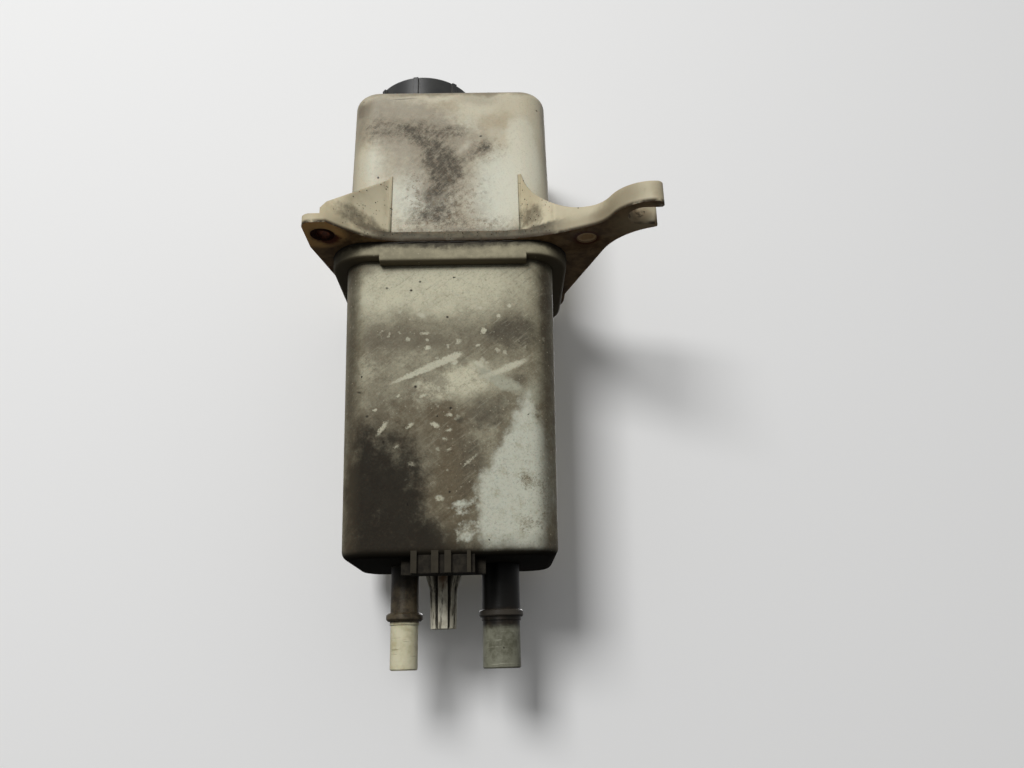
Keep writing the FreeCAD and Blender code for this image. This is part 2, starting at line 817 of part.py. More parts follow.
def strainer_frame():
    """Basket that hangs in the filler neck by its rim: upright ribs, hoops and a closed floor."""
    low = ledge_z - strainer_len
    inner = strainer_r - strainer_wall
    body = pipe(neck_bore_r - strainer_gap, inner, ledge_z, ledge_z + strainer_rim_t, cap_x, 0)
    body = body.fuse([
        pipe(strainer_r, inner, low, ledge_z, cap_x, 0),
        rod(strainer_r, low, low + strainer_wall, cap_x, 0),
    ])
    gap_low = low + strainer_hoop
    gap_high = ledge_z - strainer_hoop
    tool = between_ribs(strainer_r + over, gap_low, gap_high, strainer_rib_count, strainer_rib_w, cap_x)
    return body.cut(tool)


def strainer_mesh():
    """Fine screen inside the basket's ribs."""
    r = strainer_r - strainer_wall - mesh_gap
    low = ledge_z - strainer_len + strainer_wall
    return screen(r, mesh_t, low, ledge_z, mesh_cols, mesh_rows, mesh_hole, cap_x)


def tank_section(z, gap):
    """Inside size of the lower shell at a height, less a gap."""
    share = -z / lower_h
    shrink = lower_shrink * share + wall + gap
    return seam_w - 2 * shrink, seam_d - 2 * shrink


def baffle_plate():
    """Plate across the lower shell that calms the fluid, with rows of holes and a socket for the filter."""
    w, d = tank_section(baffle_z, baffle_gap)
    outline = Part.Face(rounded_rectangle(w, d, corner_r - wall - baffle_gap, baffle_z))
    base = outline.extrude(Vector(0, 0, baffle_t))
    low = baffle_z - over
    high = baffle_z + baffle_t + over
    tools = [rod(filter_spigot_r + seat_gap, low, high, return_x, 0)]
    nx = int((w / 2 - baffle_hole_r - ledge_l) / baffle_pitch)
    ny = int((d / 2 - baffle_hole_r - baffle_edge) / baffle_pitch)
    for i in range(-nx, nx + 1):
        for k in range(-ny, ny + 1):
            x = i * baffle_pitch
            y = k * baffle_pitch
            if math.hypot(x - return_x, y) > filter_spigot_r + baffle_hole_r + baffle_t:
                tools.append(rod(baffle_hole_r, low, high, x, y))
    return base.cut(tools)


def filter_base():
    """Lower end plate of the filter, a slip fit over the return standpipe."""
    body = pipe(filter_r, pipe_r + filter_bore_gap, filter_low, screen_low, return_x, 0)
    r = pipe_r + filter_bore_gap
    return body.cut(pipe(r + filter_seal_w, pipe_r, screen_low - filter_seal_h, screen_low, return_x, 0))


def filter_seal():
    """Rubber ring in the base plate, around the standpipe."""
    r = pipe_r + filter_bore_gap
    return pipe(r + filter_seal_w, pipe_r + push_gap, screen_low - filter_seal_h, screen_low, return_x, 0)


def filter_core():
    """Perforated tube that carries the filter screen's load."""
    tube = pipe(filter_core_r, filter_core_r - filter_core_wall, screen_low, screen_high, return_x, 0)
    step = (screen_high - screen_low) / core_hole_rows
    tools = []
    for i in range(core_hole_cols // 2):
        for k in range(core_hole_rows):
            z = screen_low + (k + 0.5) * step
            turn = math.pi * i / (core_hole_cols // 2)
            aim = Vector(math.cos(turn), math.sin(turn), 0)
            start = Vector(return_x, 0, z).sub(aim.multiply(filter_core_r + over))
            tools.append(Part.makeCylinder(core_hole_r, 2 * (filter_core_r + over), start, aim))
    return tube.cut(tools)


def filter_screen():
    """Outer screen of the filter."""
    span = (screen_low, screen_high)
    return screen(filter_screen_r, filter_screen_t, *span, screen_cols, screen_rows, screen_hole, return_x)


def filter_top():
    """Upper end plate, with a spigot that the baffle plate holds."""
    plate = rod(filter_r, screen_high, filter_high, return_x, 0)
    return plate.fuse(rod(filter_spigot_r, filter_high, filter_high + filter_spigot_h, return_x, 0))


def outlet_frame():
    """Cage over the supply nozzle's mouth, pushed into its collar."""
    top = floor_top + outlet_h
    body = pipe(outlet_r, outlet_r - outlet_wall, floor_top, top, supply_x, 0)
    body = body.fuse(rod(outlet_r, top - outlet_wall, top, supply_x, 0))
    low = floor_top + outlet_collar_h + outlet_wall
    high = top - 2 * outlet_wall
    return body.cut(between_ribs(outlet_r + over, low, high, outlet_rib_count, outlet_rib_w, supply_x))


def outlet_mesh():
    """Fine screen inside the outlet cage."""
    r = outlet_r - outlet_wall - mesh_gap
    high = floor_top + outlet_h - outlet_wall
    return screen(r, mesh_t, floor_top, high, outlet_mesh_cols, outlet_mesh_rows, mesh_hole, supply_x)


def magnet():
    """Disc magnet that catches swarf."""
    return rod(magnet_r, floor_top, floor_top + magnet_t, 0, magnet_y)


def magnet_clip():
    """Spring steel washer that holds the magnet down in its pocket."""
    low = floor_top + magnet_t
    return pipe(magnet_r + pocket_gap / 2, clip_hole_r, low, low + clip_t, 0, magnet_y)


pieces = {
    "upper_shell": upper_shell,
    "filler_neck": filler_neck,
    "front_plate": front_plate,
    "back_plate": back_plate,
    "ear_plate": ear_plate,
    "arm_plate": arm_plate,
    "lower_shell": lower_shell,
    "weld_flange": weld_flange,
    "supply_nozzle": supply_nozzle,
    "return_nozzle": return_nozzle,
    "return_standpipe": return_standpipe,
    "locating_peg": locating_peg,
    "foot_pad": foot_pad,
    "ear_bush": ear_bush,
    "cap_shell": cap_shell,
    "cap_insert": cap_insert,
    "cap_seal": cap_seal,
    "cap_vent_valve": cap_vent_valve,
    "cap_vent_felt": cap_vent_felt,
    "dipstick": dipstick,
    "strainer_frame": strainer_frame,
    "strainer_mesh": strainer_mesh,
    "baffle_plate": baffle_plate,
    "filter_base": filter_base,
    "filter_seal": filter_seal,
    "filter_core": filter_core,
    "filter_screen": filter_screen,
    "filter_top": filter_top,
    "outlet_frame": outlet_frame,
    "outlet_mesh": outlet_mesh,
    "magnet": magnet,
    "magnet_clip": magnet_clip,
}

os.makedirs("parts", exist_ok=True)
for name, make in pieces.items():
    shape = make()
    shape.translate(Vector(-ear_x, -ear_y, 0))
    shape.exportStep(f"parts/{name}.step")
    print(name, len(shape.Solids), shape.isValid(), round(shape.Volume))
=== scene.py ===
import bmesh
import bpy
import math
from mathutils import Matrix, Vector


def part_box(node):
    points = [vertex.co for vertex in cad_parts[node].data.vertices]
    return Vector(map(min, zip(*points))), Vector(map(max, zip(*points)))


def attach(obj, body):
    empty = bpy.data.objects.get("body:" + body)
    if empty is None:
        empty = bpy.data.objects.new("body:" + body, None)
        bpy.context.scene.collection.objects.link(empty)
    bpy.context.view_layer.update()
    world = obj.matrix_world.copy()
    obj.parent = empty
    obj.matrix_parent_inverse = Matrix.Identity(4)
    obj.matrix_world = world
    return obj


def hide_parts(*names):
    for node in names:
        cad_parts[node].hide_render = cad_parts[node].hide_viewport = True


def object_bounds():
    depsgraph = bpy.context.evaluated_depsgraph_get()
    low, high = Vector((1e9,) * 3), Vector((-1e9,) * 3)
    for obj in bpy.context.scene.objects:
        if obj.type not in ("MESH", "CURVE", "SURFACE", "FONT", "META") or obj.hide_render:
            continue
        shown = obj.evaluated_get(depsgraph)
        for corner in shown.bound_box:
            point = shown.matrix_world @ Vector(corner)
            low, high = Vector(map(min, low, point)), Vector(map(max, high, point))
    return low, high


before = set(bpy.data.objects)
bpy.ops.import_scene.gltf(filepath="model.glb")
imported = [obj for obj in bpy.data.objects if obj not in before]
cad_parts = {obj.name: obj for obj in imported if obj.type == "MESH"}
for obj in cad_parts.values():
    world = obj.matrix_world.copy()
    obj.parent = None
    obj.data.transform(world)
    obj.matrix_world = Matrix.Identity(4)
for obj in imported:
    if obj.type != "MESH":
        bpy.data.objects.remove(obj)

solid_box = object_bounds()

# Viewing place: the camera stands low in front of the tank and looks up at it, a little from the right,
# near enough for the hose nozzles to look larger than the cap.
camera_spot = Vector((0.06937, -0.29270, -0.16563))
camera_pitch = math.radians(18.985)
camera_yaw = math.radians(1.044)
camera_roll = math.radians(-1.410)

ahead = Vector((
    math.sin(camera_yaw) * math.cos(camera_pitch),
    math.cos(camera_yaw) * math.cos(camera_pitch),
    math.sin(camera_pitch),
))
level = Vector((math.cos(camera_yaw), -math.sin(camera_yaw), 0.0))
upward = level.cross(ahead)
image_right = level * math.cos(camera_roll) + upward * math.sin(camera_roll)
image_up = upward * math.cos(camera_roll) - level * math.sin(camera_roll)

lens = bpy.data.cameras.new("camera")
lens.sensor_width = 36.0
lens.lens = 28.83
lens.clip_start = 0.01
camera = bpy.data.objects.new("camera", lens)
turn = Matrix((image_right, image_up, -ahead)).transposed().to_4x4()
camera.matrix_world = Matrix.Translation(camera_spot) @ turn
bpy.context.collection.objects.link(camera)
bpy.context.scene.camera = camera
bpy.context.scene.view_settings.view_transform = "Standard"

# Light: a soft lamp in front, a little up and to the left, a weaker one behind for the back of the tank, and a pale sky
# that darkens below the level, so that undersides stay dark. The front face is lit at about the level at which a colour
# looks as it is written.


def soft_lamp(name, spot, aim, size, power):
    """Square area lamp at a spot, turned towards a point."""
    data = bpy.data.lights.new(name, "AREA")
    data.size = size
    data.energy = power
    lamp = bpy.data.objects.new(name, data)
    lamp.location = spot
    lamp.rotation_euler = (Vector(aim) - Vector(spot)).to_track_quat("-Z", "Y").to_euler()
    bpy.context.collection.objects.link(lamp)


tank_middle = (0.05, 0.04, -0.03)
soft_lamp("front_lamp", (-0.42, -1.30, 0.62), tank_middle, 0.55, 18.0)
soft_lamp("back_lamp", (0.12, 1.25, 0.50), tank_middle, 0.9, 9.0)

sky = bpy.data.worlds.new("pale_sky")
sky.use_nodes = True
sky_nodes = sky.node_tree.nodes
sky_links = sky.node_tree.links
sky_glow = sky_nodes["Background"]
sky_glow.inputs["Strength"].default_value = 0.50
sky_way = sky_nodes.new("ShaderNodeTexCoord")
sky_height = sky_nodes.new("ShaderNodeSeparateXYZ")
sky_shade = sky_nodes.new("ShaderNodeMapRange")
sky_shade.inputs["From Min"].default_value = -0.3
sky_shade.inputs["From Max"].default_value = 0.4
sky_shade.inputs["To Min"].default_value = 0.16
sky_links.new(sky_way.outputs["Generated"], sky_height.inputs["Vector"])
sky_links.new(sky_height.outputs["Z"], sky_shade.inputs["Value"])
sky_links.new(sky_shade.outputs["Result"], sky_glow.inputs["Color"])
seen_sky = sky_nodes.new("ShaderNodeBackground")
seen_sky.inputs["Color"].default_value = (0.90, 0.90, 0.895, 1.0)
sky_path = sky_nodes.new("ShaderNodeLightPath")
sky_mix = sky_nodes.new("ShaderNodeMixShader")
sky_links.new(sky_path.outputs["Is Camera Ray"], sky_mix.inputs["Fac"])
sky_links.new(sky_glow.outputs["Background"], sky_mix.inputs[1])
sky_links.new(seen_sky.outputs["Background"], sky_mix.inputs[2])
sky_links.new(sky_mix.outputs["Shader"], sky_nodes["World Output"].inputs["Surface"])
bpy.context.scene.world = sky

# Pale floor: the smooth surface that the tank lies against with its back. It catches the tank's shadow,
# and only its front side is seen, so that the back of the tank can be looked at too.
floor_gap = 0.0012
floor_half = 3.0

floor_y = solid_box[1][1] + floor_gap
floor_mesh = bpy.data.meshes.new("pale_floor")
floor_corners = [(-floor_half, floor_y, -floor_half), (floor_half, floor_y, -floor_half),
                 (floor_half, floor_y, floor_half), (-floor_half, floor_y, floor_half)]
floor_mesh.from_pydata(floor_corners, [], [(0, 1, 2, 3)])
pale_floor = bpy.data.objects.new("pale_floor", floor_mesh)
bpy.context.collection.objects.link(pale_floor)
floor_finish = bpy.data.materials.new("floor_finish")
floor_finish.use_nodes = True
floor_nodes = floor_finish.node_tree.nodes
floor_links = floor_finish.node_tree.links
floor_nodes["Principled BSDF"].inputs["Base Color"].default_value = (0.84, 0.84, 0.835, 1.0)
floor_nodes["Principled BSDF"].inputs["Roughness"].default_value = 0.9
floor_clear = floor_nodes.new("ShaderNodeBsdfTransparent")
floor_mix = floor_nodes.new("ShaderNodeMixShader")
floor_ray = floor_nodes.new("ShaderNodeLightPath")
floor_side = floor_nodes.new("ShaderNodeNewGeometry")
floor_front = floor_nodes.new("ShaderNodeMath")
floor_front.operation = "SUBTRACT"
floor_front.use_clamp = True
floor_links.new(floor_ray.outputs["Is Camera Ray"], floor_front.inputs[0])
floor_links.new(floor_side.outputs["Backfacing"], floor_front.inputs[1])
floor_links.new(floor_front.outputs[0], floor_mix.inputs["Fac"])
floor_links.new(floor_clear.outputs["BSDF"], floor_mix.inputs[1])
floor_links.new(floor_nodes["Principled BSDF"].outputs["BSDF"], floor_mix.inputs[2])
floor_links.new(floor_mix.outputs["Shader"], floor_nodes["Material Output"].inputs["Surface"])
floor_mesh.materials.append(floor_finish)

# Upper half of the tank with its filler neck and mounting plate: one moulding of milky polypropylene, aged to cream.
# Oily road dirt is smeared over the front, packed into the corner above the plate, and rust has run under the ear.
# Painted shade darkens its inner corners and the faces that turn away from the front.


def painted(red, green, blue):
    """Screen colour, 0 to 255, as the shader's own light values."""
    shares = (red / 255, green / 255, blue / 255)
    light = [s / 12.92 if s < 11 / 255 else ((s + 0.055) / 1.055) ** 2.4 for s in shares]
    return (*light, 1.0)


class Finish:
    """One material, with a short call for each step that these surfaces need. Places are in millimetres."""

    def __init__(self, name, roughness, **sockets):
        self.material = bpy.data.materials.new(name)
        self.material.use_nodes = True
        self.tree = self.material.node_tree
        self.shader = self.tree.nodes["Principled BSDF"]
        self.shader.inputs["Roughness"].default_value = roughness
        for socket, value in sockets.items():
            self.shader.inputs[socket.replace("_", " ")].default_value = value
        spot = self.step("ShaderNodeTexCoord").outputs["Object"]
        self.place = self.vectors("MULTIPLY", spot, (1000.0, 1000.0, 1000.0))

    def step(self, kind, feeds=None, **settings):
        """New node with its settings; feeds are values or other nodes' outputs for its sockets."""
        node = self.tree.nodes.new(kind)
        for setting, value in settings.items():
            setattr(node, setting, value)
        for socket, value in (feeds or {}).items():
            if isinstance(value, bpy.types.NodeSocket):
                self.tree.links.new(value, node.inputs[socket])
            else:
                node.inputs[socket].default_value = value
        return node

    def vectors(self, operation, a, b):
        return self.step("ShaderNodeVectorMath", {0: a, 1: b}, operation=operation).outputs[0]

    def maths(self, operation, a, b=0.0):
        return self.step("ShaderNodeMath", {0: a, 1: b}, operation=operation).outputs[0]

    def times(self, first, *others):
        for other in others:
            first = self.maths("MULTIPLY", first, other)
        return first

    def plus(self, value, more, amount):
        """The value with an amount of something more."""
        return self.step("ShaderNodeMath", {0: more, 1: amount, 2: value}, operation="MULTIPLY_ADD").outputs[0]

    def band(self, value, low, high):
        """0 below low, 1 above high, smooth between; or the other way round."""
        feeds = {"Value": value, "From Min": low, "From Max": high}
        return self.step("ShaderNodeMapRange", feeds, interpolation_type="SMOOTHSTEP").outputs["Result"]

    def cloud(self, scale, detail=3.0, rough=0.55, place=None, stretch=None):
        """Soft noise from 0 to 1; scale is in cycles per millimetre."""
        place = place or self.place
        if stretch:
            place = self.vectors("MULTIPLY", place, stretch)
        feeds = {"Vector": place, "Scale": scale, "Detail": detail, "Roughness": rough}
        return self.step("ShaderNodeTexNoise", feeds).outputs["Fac"]

    def swing(self, *kind):
        """Soft noise around zero, from -0.5 to 0.5."""
        return self.maths("SUBTRACT", self.cloud(*kind), 0.5)

    def blotches(self, low, high, *kind, **more):
        """Soft noise, drawn from 0 at low to 1 at high."""
        return self.band(self.cloud(*kind, **more), low, high)

    def strokes(self, lean, scale):
        """Noise drawn out along strokes that lean by an angle in the front view."""
        feeds = {"Vector": self.place, "Rotation": (0.0, -math.radians(lean), 0.0), "Scale": (9.0, 9.0, 1.0)}
        along = self.step("ShaderNodeMapping", feeds, vector_type="TEXTURE").outputs[0]
        return self.cloud(scale, 6.0, 0.75, along)

    def ragged(self, scale, amount, place=None):
        """The place, pushed about by noise, so that edges drawn from it come out ragged."""
        place = place or self.place
        noise = self.step("ShaderNodeTexNoise", {"Vector": place, "Scale": scale, "Detail": 2.0}).outputs["Color"]
        push = self.vectors("SUBTRACT", noise, (0.5, 0.5, 0.5))
        push = self.step("ShaderNodeVectorMath", {0: push, "Scale": amount}, operation="SCALE").outputs[0]
        return self.vectors("ADD", place, push)

    def patch(self, place, spot, size, lean=0.0, core=0.25):
        """Soft oval patch: 1 inside its core, 0 past its size, leaning by an angle in the front view."""
        feeds = {"Vector": place, "Location": spot, "Rotation": (0.0, -math.radians(lean), 0.0), "Scale": size}
        inside = self.step("ShaderNodeMapping", feeds, vector_type="TEXTURE").outputs[0]
        far = self.step("ShaderNodeVectorMath", {0: inside}, operation="LENGTH").outputs["Value"]
        return self.band(far, 1.0, core)

    def patches(self, place, spots, depth=16.0, front=9.0):
        """Sum of patches on the front face, at most 1. Each is (x, z, half width, half height, lean, strength)."""
        total = 0.0
        for x, z, w, h, lean, strength in spots:
            one = self.patch(place, (x, front, z), (w, depth, h), lean)
            total = self.plus(total, one, strength)
        return self.maths("MINIMUM", total, 1.0)

    def beyond(self, place, x, z, heading):
        """How far past a line in the front view, counted to the right of the line's heading in degrees."""
        away = self.vectors("SUBTRACT", place, (x, 0.0, z))
        a = math.radians(heading)
        across_line = (math.sin(a), 0.0, -math.cos(a))
        return self.step("ShaderNodeVectorMath", {0: away, 1: across_line}, operation="DOT_PRODUCT").outputs["Value"]

    def within(self, place, *lines):
        """How far inside a shape whose outline runs clockwise along the lines, each (x, z, heading)."""
        inside = 1000.0
        for line in lines:
            inside = self.maths("MINIMUM", self.beyond(place, *line), inside)
        return inside

    def roughened(self, value, noise, amount, low, high):
        """A soft mask made ragged by noise around zero, then drawn tighter."""
        return self.band(self.plus(value, noise, amount), low, high)

    def specks(self, scale, size, share, place=None):
        """Scattered round specks; share is how many of the cells hold one."""
        feeds = {"Vector": place or self.place, "Scale": scale}
        cells = self.step("ShaderNodeTexVoronoi", feeds)
        dot = self.band(cells.outputs["Distance"], size, size * 0.5)
        pick = self.step("ShaderNodeSeparateColor", {"Color": cells.outputs["Color"]}).outputs[0]
        return self.times(dot, self.band(pick, 1.0 - share, 1.0 - share + 0.02))

    def coat(self, under, over, amount):
        """Colour over another, where amount is 1. Plain colours are screen colours, 0 to 255."""
        under, over = (painted(*tone) if isinstance(tone, tuple) else tone for tone in (under, over))
        return self.step("ShaderNodeMix", {0: amount, 6: under, 7: over}, data_type="RGBA").outputs[2]

    def base(self, first, second, amount):
        """The surface's own colour: the first, and the second where amount is 1."""
        self.colour = self.coat(first, second, amount)

    def layer(self, tone, amount, strength=None):
        """Lays a colour over the surface's own."""
        if strength:
            amount = self.times(amount, strength)
        self.colour = self.coat(self.colour, tone, amount)

    def axis(self, vector, index):
        return self.step("ShaderNodeSeparateXYZ", {"Vector": vector}).outputs[index]

    def facing(self, index):
        """How far the surface faces along one axis, from -1 to 1."""
        return self.axis(self.step("ShaderNodeNewGeometry").outputs["Normal"], index)

    def crevice(self, distance, low, high):
        """1 in inner corners, where other surfaces are near."""
        shade = self.step("ShaderNodeAmbientOcclusion", {"Distance": distance / 1000}, samples=6).outputs["AO"]
        return self.band(shade, high, low)

    def finished(self, roughness=None, height=None, depth=0.05, edge=0.0):
        """Joins the colour, gloss and relief to the shader; edge is the soft radius of sharp edges."""
        self.tree.links.new(self.colour, self.shader.inputs["Base Color"])
        if roughness is not None:
            self.tree.links.new(roughness, self.shader.inputs["Roughness"])
        normal = None
        if edge:
            normal = self.step("ShaderNodeBevel", {"Radius": edge / 1000}, samples=4).outputs["Normal"]
        if height is not None:
            bump = self.step("ShaderNodeBump", {"Height": height, "Distance": depth / 1000, "Strength": 1.0})
            if normal:
                self.tree.links.new(normal, bump.inputs["Normal"])
            normal = bump.outputs["Normal"]
        if normal:
            self.tree.links.new(normal, self.shader.inputs["Normal"])
        return self.material


def dressed(material, *nodes):
    """Gives solids of the model their finish."""
    for node in nodes:
        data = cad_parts[node].data
        for i in range(len(data.materials)):
            data.materials[i] = material


def two_tone(name, roughness, first, second, blotch, grain, depth, edge=0.0, **sockets):
    """Plain finish: the second colour in soft blotches over the first, with a fine grain as relief."""
    finish = Finish(name, roughness, **sockets)
    finish.base(first, second, finish.blotches(*blotch))
    return finish.finished(None, finish.cloud(*grain), depth, edge)


upper = Finish("upper_half_plastic", 0.5, Subsurface_Weight=0.08, Subsurface_Scale=0.004, Specular_IOR_Level=0.3)
loose = upper.ragged(0.10, 6.0)
loose = upper.ragged(0.55, 2.0, loose)
grain = upper.cloud(0.9, 5.0, 0.7)
mottle = upper.swing(0.33, 6.0, 0.75)
grit_noise = upper.swing(1.3, 5.0, 0.85)
upper.base((186, 177, 152), (194, 187, 164), upper.blotches(0.35, 0.65, 0.035, 2.0))
pale_spots = [(33, 24, 14, 20, 0, 0.9), (70, 26, 16, 32, 0, 1.0), (17, 40, 9, 16, 0, 0.5), (60, 60, 12, 6, 20, 0.35),
              (87, 40, 7, 18, 0, 0.4), (44, 20, 12, 14, 0, 0.6)]
upper.layer((202, 203, 186), upper.patches(loose, pale_spots))
tan_spots = [(72, 61, 20, 10, 0, 0.8), (47, 70, 14, 7, 0, 0.75), (86, 56, 10, 16, 0, 0.35), (14, 55, 8, 12, 0, 0.35)]
upper.layer((166, 154, 128), upper.roughened(upper.patches(loose, tan_spots), mottle, 0.8, 0.1, 1.1))
edge_spots = [
    (8, 66, 8, 26, 0, 0.9), (95, 66, 6, 26, 0, 0.85), (50, 79, 70, 4, 0, 0.85), (96, 20, 3, 40, 0, 0.7),
    (4, 35, 4, 34, 0, 0.6), (12, 71, 9, 6, 0, 0.7), (18, 71, 18, 9, 0, 0.35), (62, 74, 14, 5, 0, 0.3),
]
upper.layer((112, 102, 84), upper.patches(loose, edge_spots))
haze_spots = [
    (26, 62, 34, 22, -8, 1.0), (44, 48, 30, 30, 0, 0.85), (50, 20, 32, 30, 0, 0.6), (64, 50, 15, 13, 0, 0.5),
    (24, 38, 12, 12, 0, 0.3),
]
haze = upper.roughened(upper.patches(loose, haze_spots), mottle, 1.3, 0.0, 1.1)
upper.layer((140, 131, 113), haze, 0.8)
bright = upper.roughened(
    upper.patches(loose, [(83, 42, 12, 30, 0, 1.0), (75, 26, 13, 28, 0, 0.7), (80, 58, 10, 10, 0, 0.5)]), mottle, 1.0,
    0.1, 0.8,
)
upper.layer((208, 205, 186), bright, 0.65)
smear_spots = [
    (22, 59, 22, 13, -8, 0.76), (43, 55, 19, 14, -28, 0.8), (55, 58, 9, 7, 0, 0.5), (48, 39, 13, 13, 0, 1.0),
    (40, 45, 14, 11, -30, 0.4), (62, 46, 12, 7, 32, 0.68), (66, 50, 5, 6, 0, 0.42), (49, 24, 15, 20, 0, 0.62),
    (42, 12, 26, 10, 0, 0.5), (41, 22, 11, 16, -20, 0.45), (66, 10, 20, 5, 0, 0.5),
]
smear = upper.patches(loose, smear_spots)
smear = upper.plus(smear, grit_noise, 1.1)
wiping = upper.maths("SUBTRACT", upper.strokes(48.0, 0.8), 0.5)
smear = upper.plus(smear, wiping, 0.7)
smear = upper.roughened(smear, mottle, 1.4, 0.1, 1.25)
smear_tone = upper.coat((122, 113, 96), (68, 62, 52), upper.band(smear, 0.4, 1.0))
upper.layer(smear_tone, smear, 0.95)
rubbed = upper.roughened(
    upper.patches(loose, [(57, 49, 3, 9, -40, 0.55), (71, 57, 7, 6, 0, 0.5), (45, 22, 3, 9, -30, 0.4)]), mottle, 1.2,
    0.1, 0.8,
)
upper.layer((190, 184, 164), rubbed, 0.7)
crumb_where = upper.patches(
    loose, [(50, 24, 26, 24, 0, 0.9), (52, 9, 44, 8, 0, 0.8), (36, 28, 8, 16, 0, 0.6), (66, 48, 14, 12, 0, 0.8)],
)
crumbs = upper.times(upper.blotches(0.52, 0.6, 0.42, 7.0, 0.74), crumb_where)
upper.layer((110, 97, 76), crumbs, 0.72)
collar_dirt = upper.times(upper.band(upper.axis(loose, 2), 10.5, 5.5), upper.blotches(0.28, 0.56, 0.22, 5.0, 0.7))
upper.layer((96, 88, 73), collar_dirt, 0.85)
# Painted shade: inner corners, found by occlusion, are darkened.
upper.layer((104, 95, 78), upper.crevice(3.5, 0.4, 0.8), 0.35)
# Painted shade: the faces that turn away from the front are painted darker.
off_front = upper.band(upper.facing(1), -0.85, -0.3)
upper.layer((146, 136, 113), off_front, 0.4)
streaks = upper.blotches(0.46, 0.72, 0.3, 5.0, 0.7, stretch=(1.0, 1.0, 0.16))
upper.layer((112, 102, 83), upper.times(streaks, off_front), 0.5)
upper.layer((108, 99, 80), upper.band(grit_noise, 0.0, 0.22), 0.32)
upper.layer((38, 33, 26), upper.specks(0.16, 0.1, 0.25, loose))
dark_marks = [
    (63.9, 54.3, 1.0, 0.6, 15, 1.0), (19.7, 33.8, 0.7, 0.9, 0, 1.0), (89, 69.7, 0.7, 0.7, 0, 1.0),
    (30, 74.5, 8, 0.5, 4, 0.5),
]
upper.layer((34, 30, 24), upper.patches(upper.place, dark_marks))
gloss = upper.step("ShaderNodeMapRange", {"Value": smear, "To Min": 0.45, "To Max": 0.75}).outputs[0]
relief = upper.plus(grain, smear, 0.5)
upper_finish = upper.finished(gloss, relief, 0.05, 0.7)
dressed(upper_finish, "upper_shell", "filler_neck")

# Mounting plate: moulded in one with the upper half, with its ear, arm, webs and collar. The solids are four parts
# that meet face to face, so the piece here is the four joined, without the faces between them.

plate = Finish("mounting_plate_plastic", 0.6, Subsurface_Weight=0.05, Subsurface_Scale=0.003, Specular_IOR_Level=0.15)
loose = plate.ragged(0.12, 5.0)
loose = plate.ragged(0.6, 1.6, loose)
height_mm = plate.axis(plate.place, 2)
plate_mottle = plate.cloud(0.3, 5.0, 0.7)
plate.base((196, 187, 160), (180, 169, 140), plate.blotches(0.38, 0.66, 0.06, 4.0))
tan_spots = [
    (118, 4, 14, 9, 20, 0.75), (134, 6, 7, 9, 0, 0.6), (106, 3, 12, 5, 0, 0.5), (25, 22, 4, 22, 0, 0.45),
    (6, 4, 12, 6, 0, 0.2),
]
plate.layer((138, 127, 104), plate.patches(loose, tan_spots, 60.0, -10.0))
# Painted shade: dark patches in the corners at the plate's roots, where it meets the tank.
root_spots = [(84, 12, 9, 9, 0, 0.8), (16, 7, 17, 7, -15, 0.75), (30, 5, 12, 7, 0, 0.8)]
root = plate.patches(loose, root_spots, 60.0, 0.0)
root_mottle = plate.maths("SUBTRACT", plate_mottle, 0.5)
root = plate.band(plate.plus(root, root_mottle, 1.5), 0.1, 1.0)
plate.layer((88, 79, 62), root, 0.85)
across = plate.axis(loose, 0)
middle = plate.times(plate.band(across, 12.0, 24.0), plate.band(across, 104.0, 88.0))
collar = plate.times(plate.band(plate.axis(loose, 2), 7.6, 5.6), middle)
collar_tone = plate.coat((62, 58, 48), (92, 86, 72), plate.band(plate_mottle, 0.36, 0.66))
plate.layer(collar_tone, collar, 0.92)
low_edge = plate.band(height_mm, 2.0, 0.5)
plate.layer((62, 52, 37), plate.times(low_edge, plate.blotches(0.3, 0.5, 0.15, 4.0, 0.6)))
upward_face = plate.band(plate.facing(2), 0.6, 0.95)
plate.layer((112, 103, 84), plate.times(upward_face, plate.band(plate_mottle, 0.3, 0.62)))
inner_wall = plate.patch(plate.place, (128.5, -11.0, 4.0), (12.0, 6.9, 14.0), core=0.9)
plate.layer(plate.coat((128, 114, 90), (62, 51, 36), plate.band(plate_mottle, 0.5, 0.66)), inner_wall)
# Painted shade: inner corners, found by occlusion, are darkened.
plate.layer((84, 75, 59), plate.crevice(3.0, 0.4, 0.8), 0.4)
under = plate.band(plate.facing(2), -0.4, -0.8)
under_tone = plate.coat((142, 116, 82), (100, 77, 52), plate.blotches(0.35, 0.62, 0.12, 5.0, 0.65))
under_tone = plate.coat(under_tone, (176, 158, 126), plate.patch(loose, (134.0, -6.0, 0.0), (24.0, 18.0, 8.0)))
under_tone = plate.coat(under_tone, (34, 27, 18), plate.patch(loose, (50.0, 50.0, 0.0), (60.0, 50.0, 12.0), core=0.6))
ear_amber = plate.patch(loose, (-3.0, -2.0, 0.0), (15.0, 15.0, 8.0), core=0.6)
under_tone = plate.coat(under_tone, (206, 164, 106), ear_amber)
under_tone = plate.coat(under_tone, (84, 38, 15), plate.patch(loose, (1.5, 3.0, 0.0), (6.8, 6.4, 8.0), core=0.5))
plate.layer(under_tone, under)
disc_spot = (107.0, 5.9, 0.0)
plate.layer((84, 44, 22), plate.patch(plate.place, disc_spot, (6.6, 6.6, 3.0), core=0.66))
plate.layer((214, 184, 142), plate.patch(plate.place, disc_spot, (4.3, 4.3, 3.0), core=0.85))
plate.layer((184, 150, 108), plate.patch(loose, disc_spot, (3.0, 3.0, 3.0), core=0.6))
bush_stain = plate.patch(loose, (0.0, 0.0, 3.0), (7.0, 7.0, 9.0), core=0.55)
plate.layer((72, 38, 18), bush_stain, 0.8)
plate.layer((34, 29, 22), plate.specks(0.3, 0.12, 0.25, loose))
plate_relief = plate.cloud(0.8, 5.0, 0.7)
plate_finish = plate.finished(None, plate_relief, 0.05, 0.8)

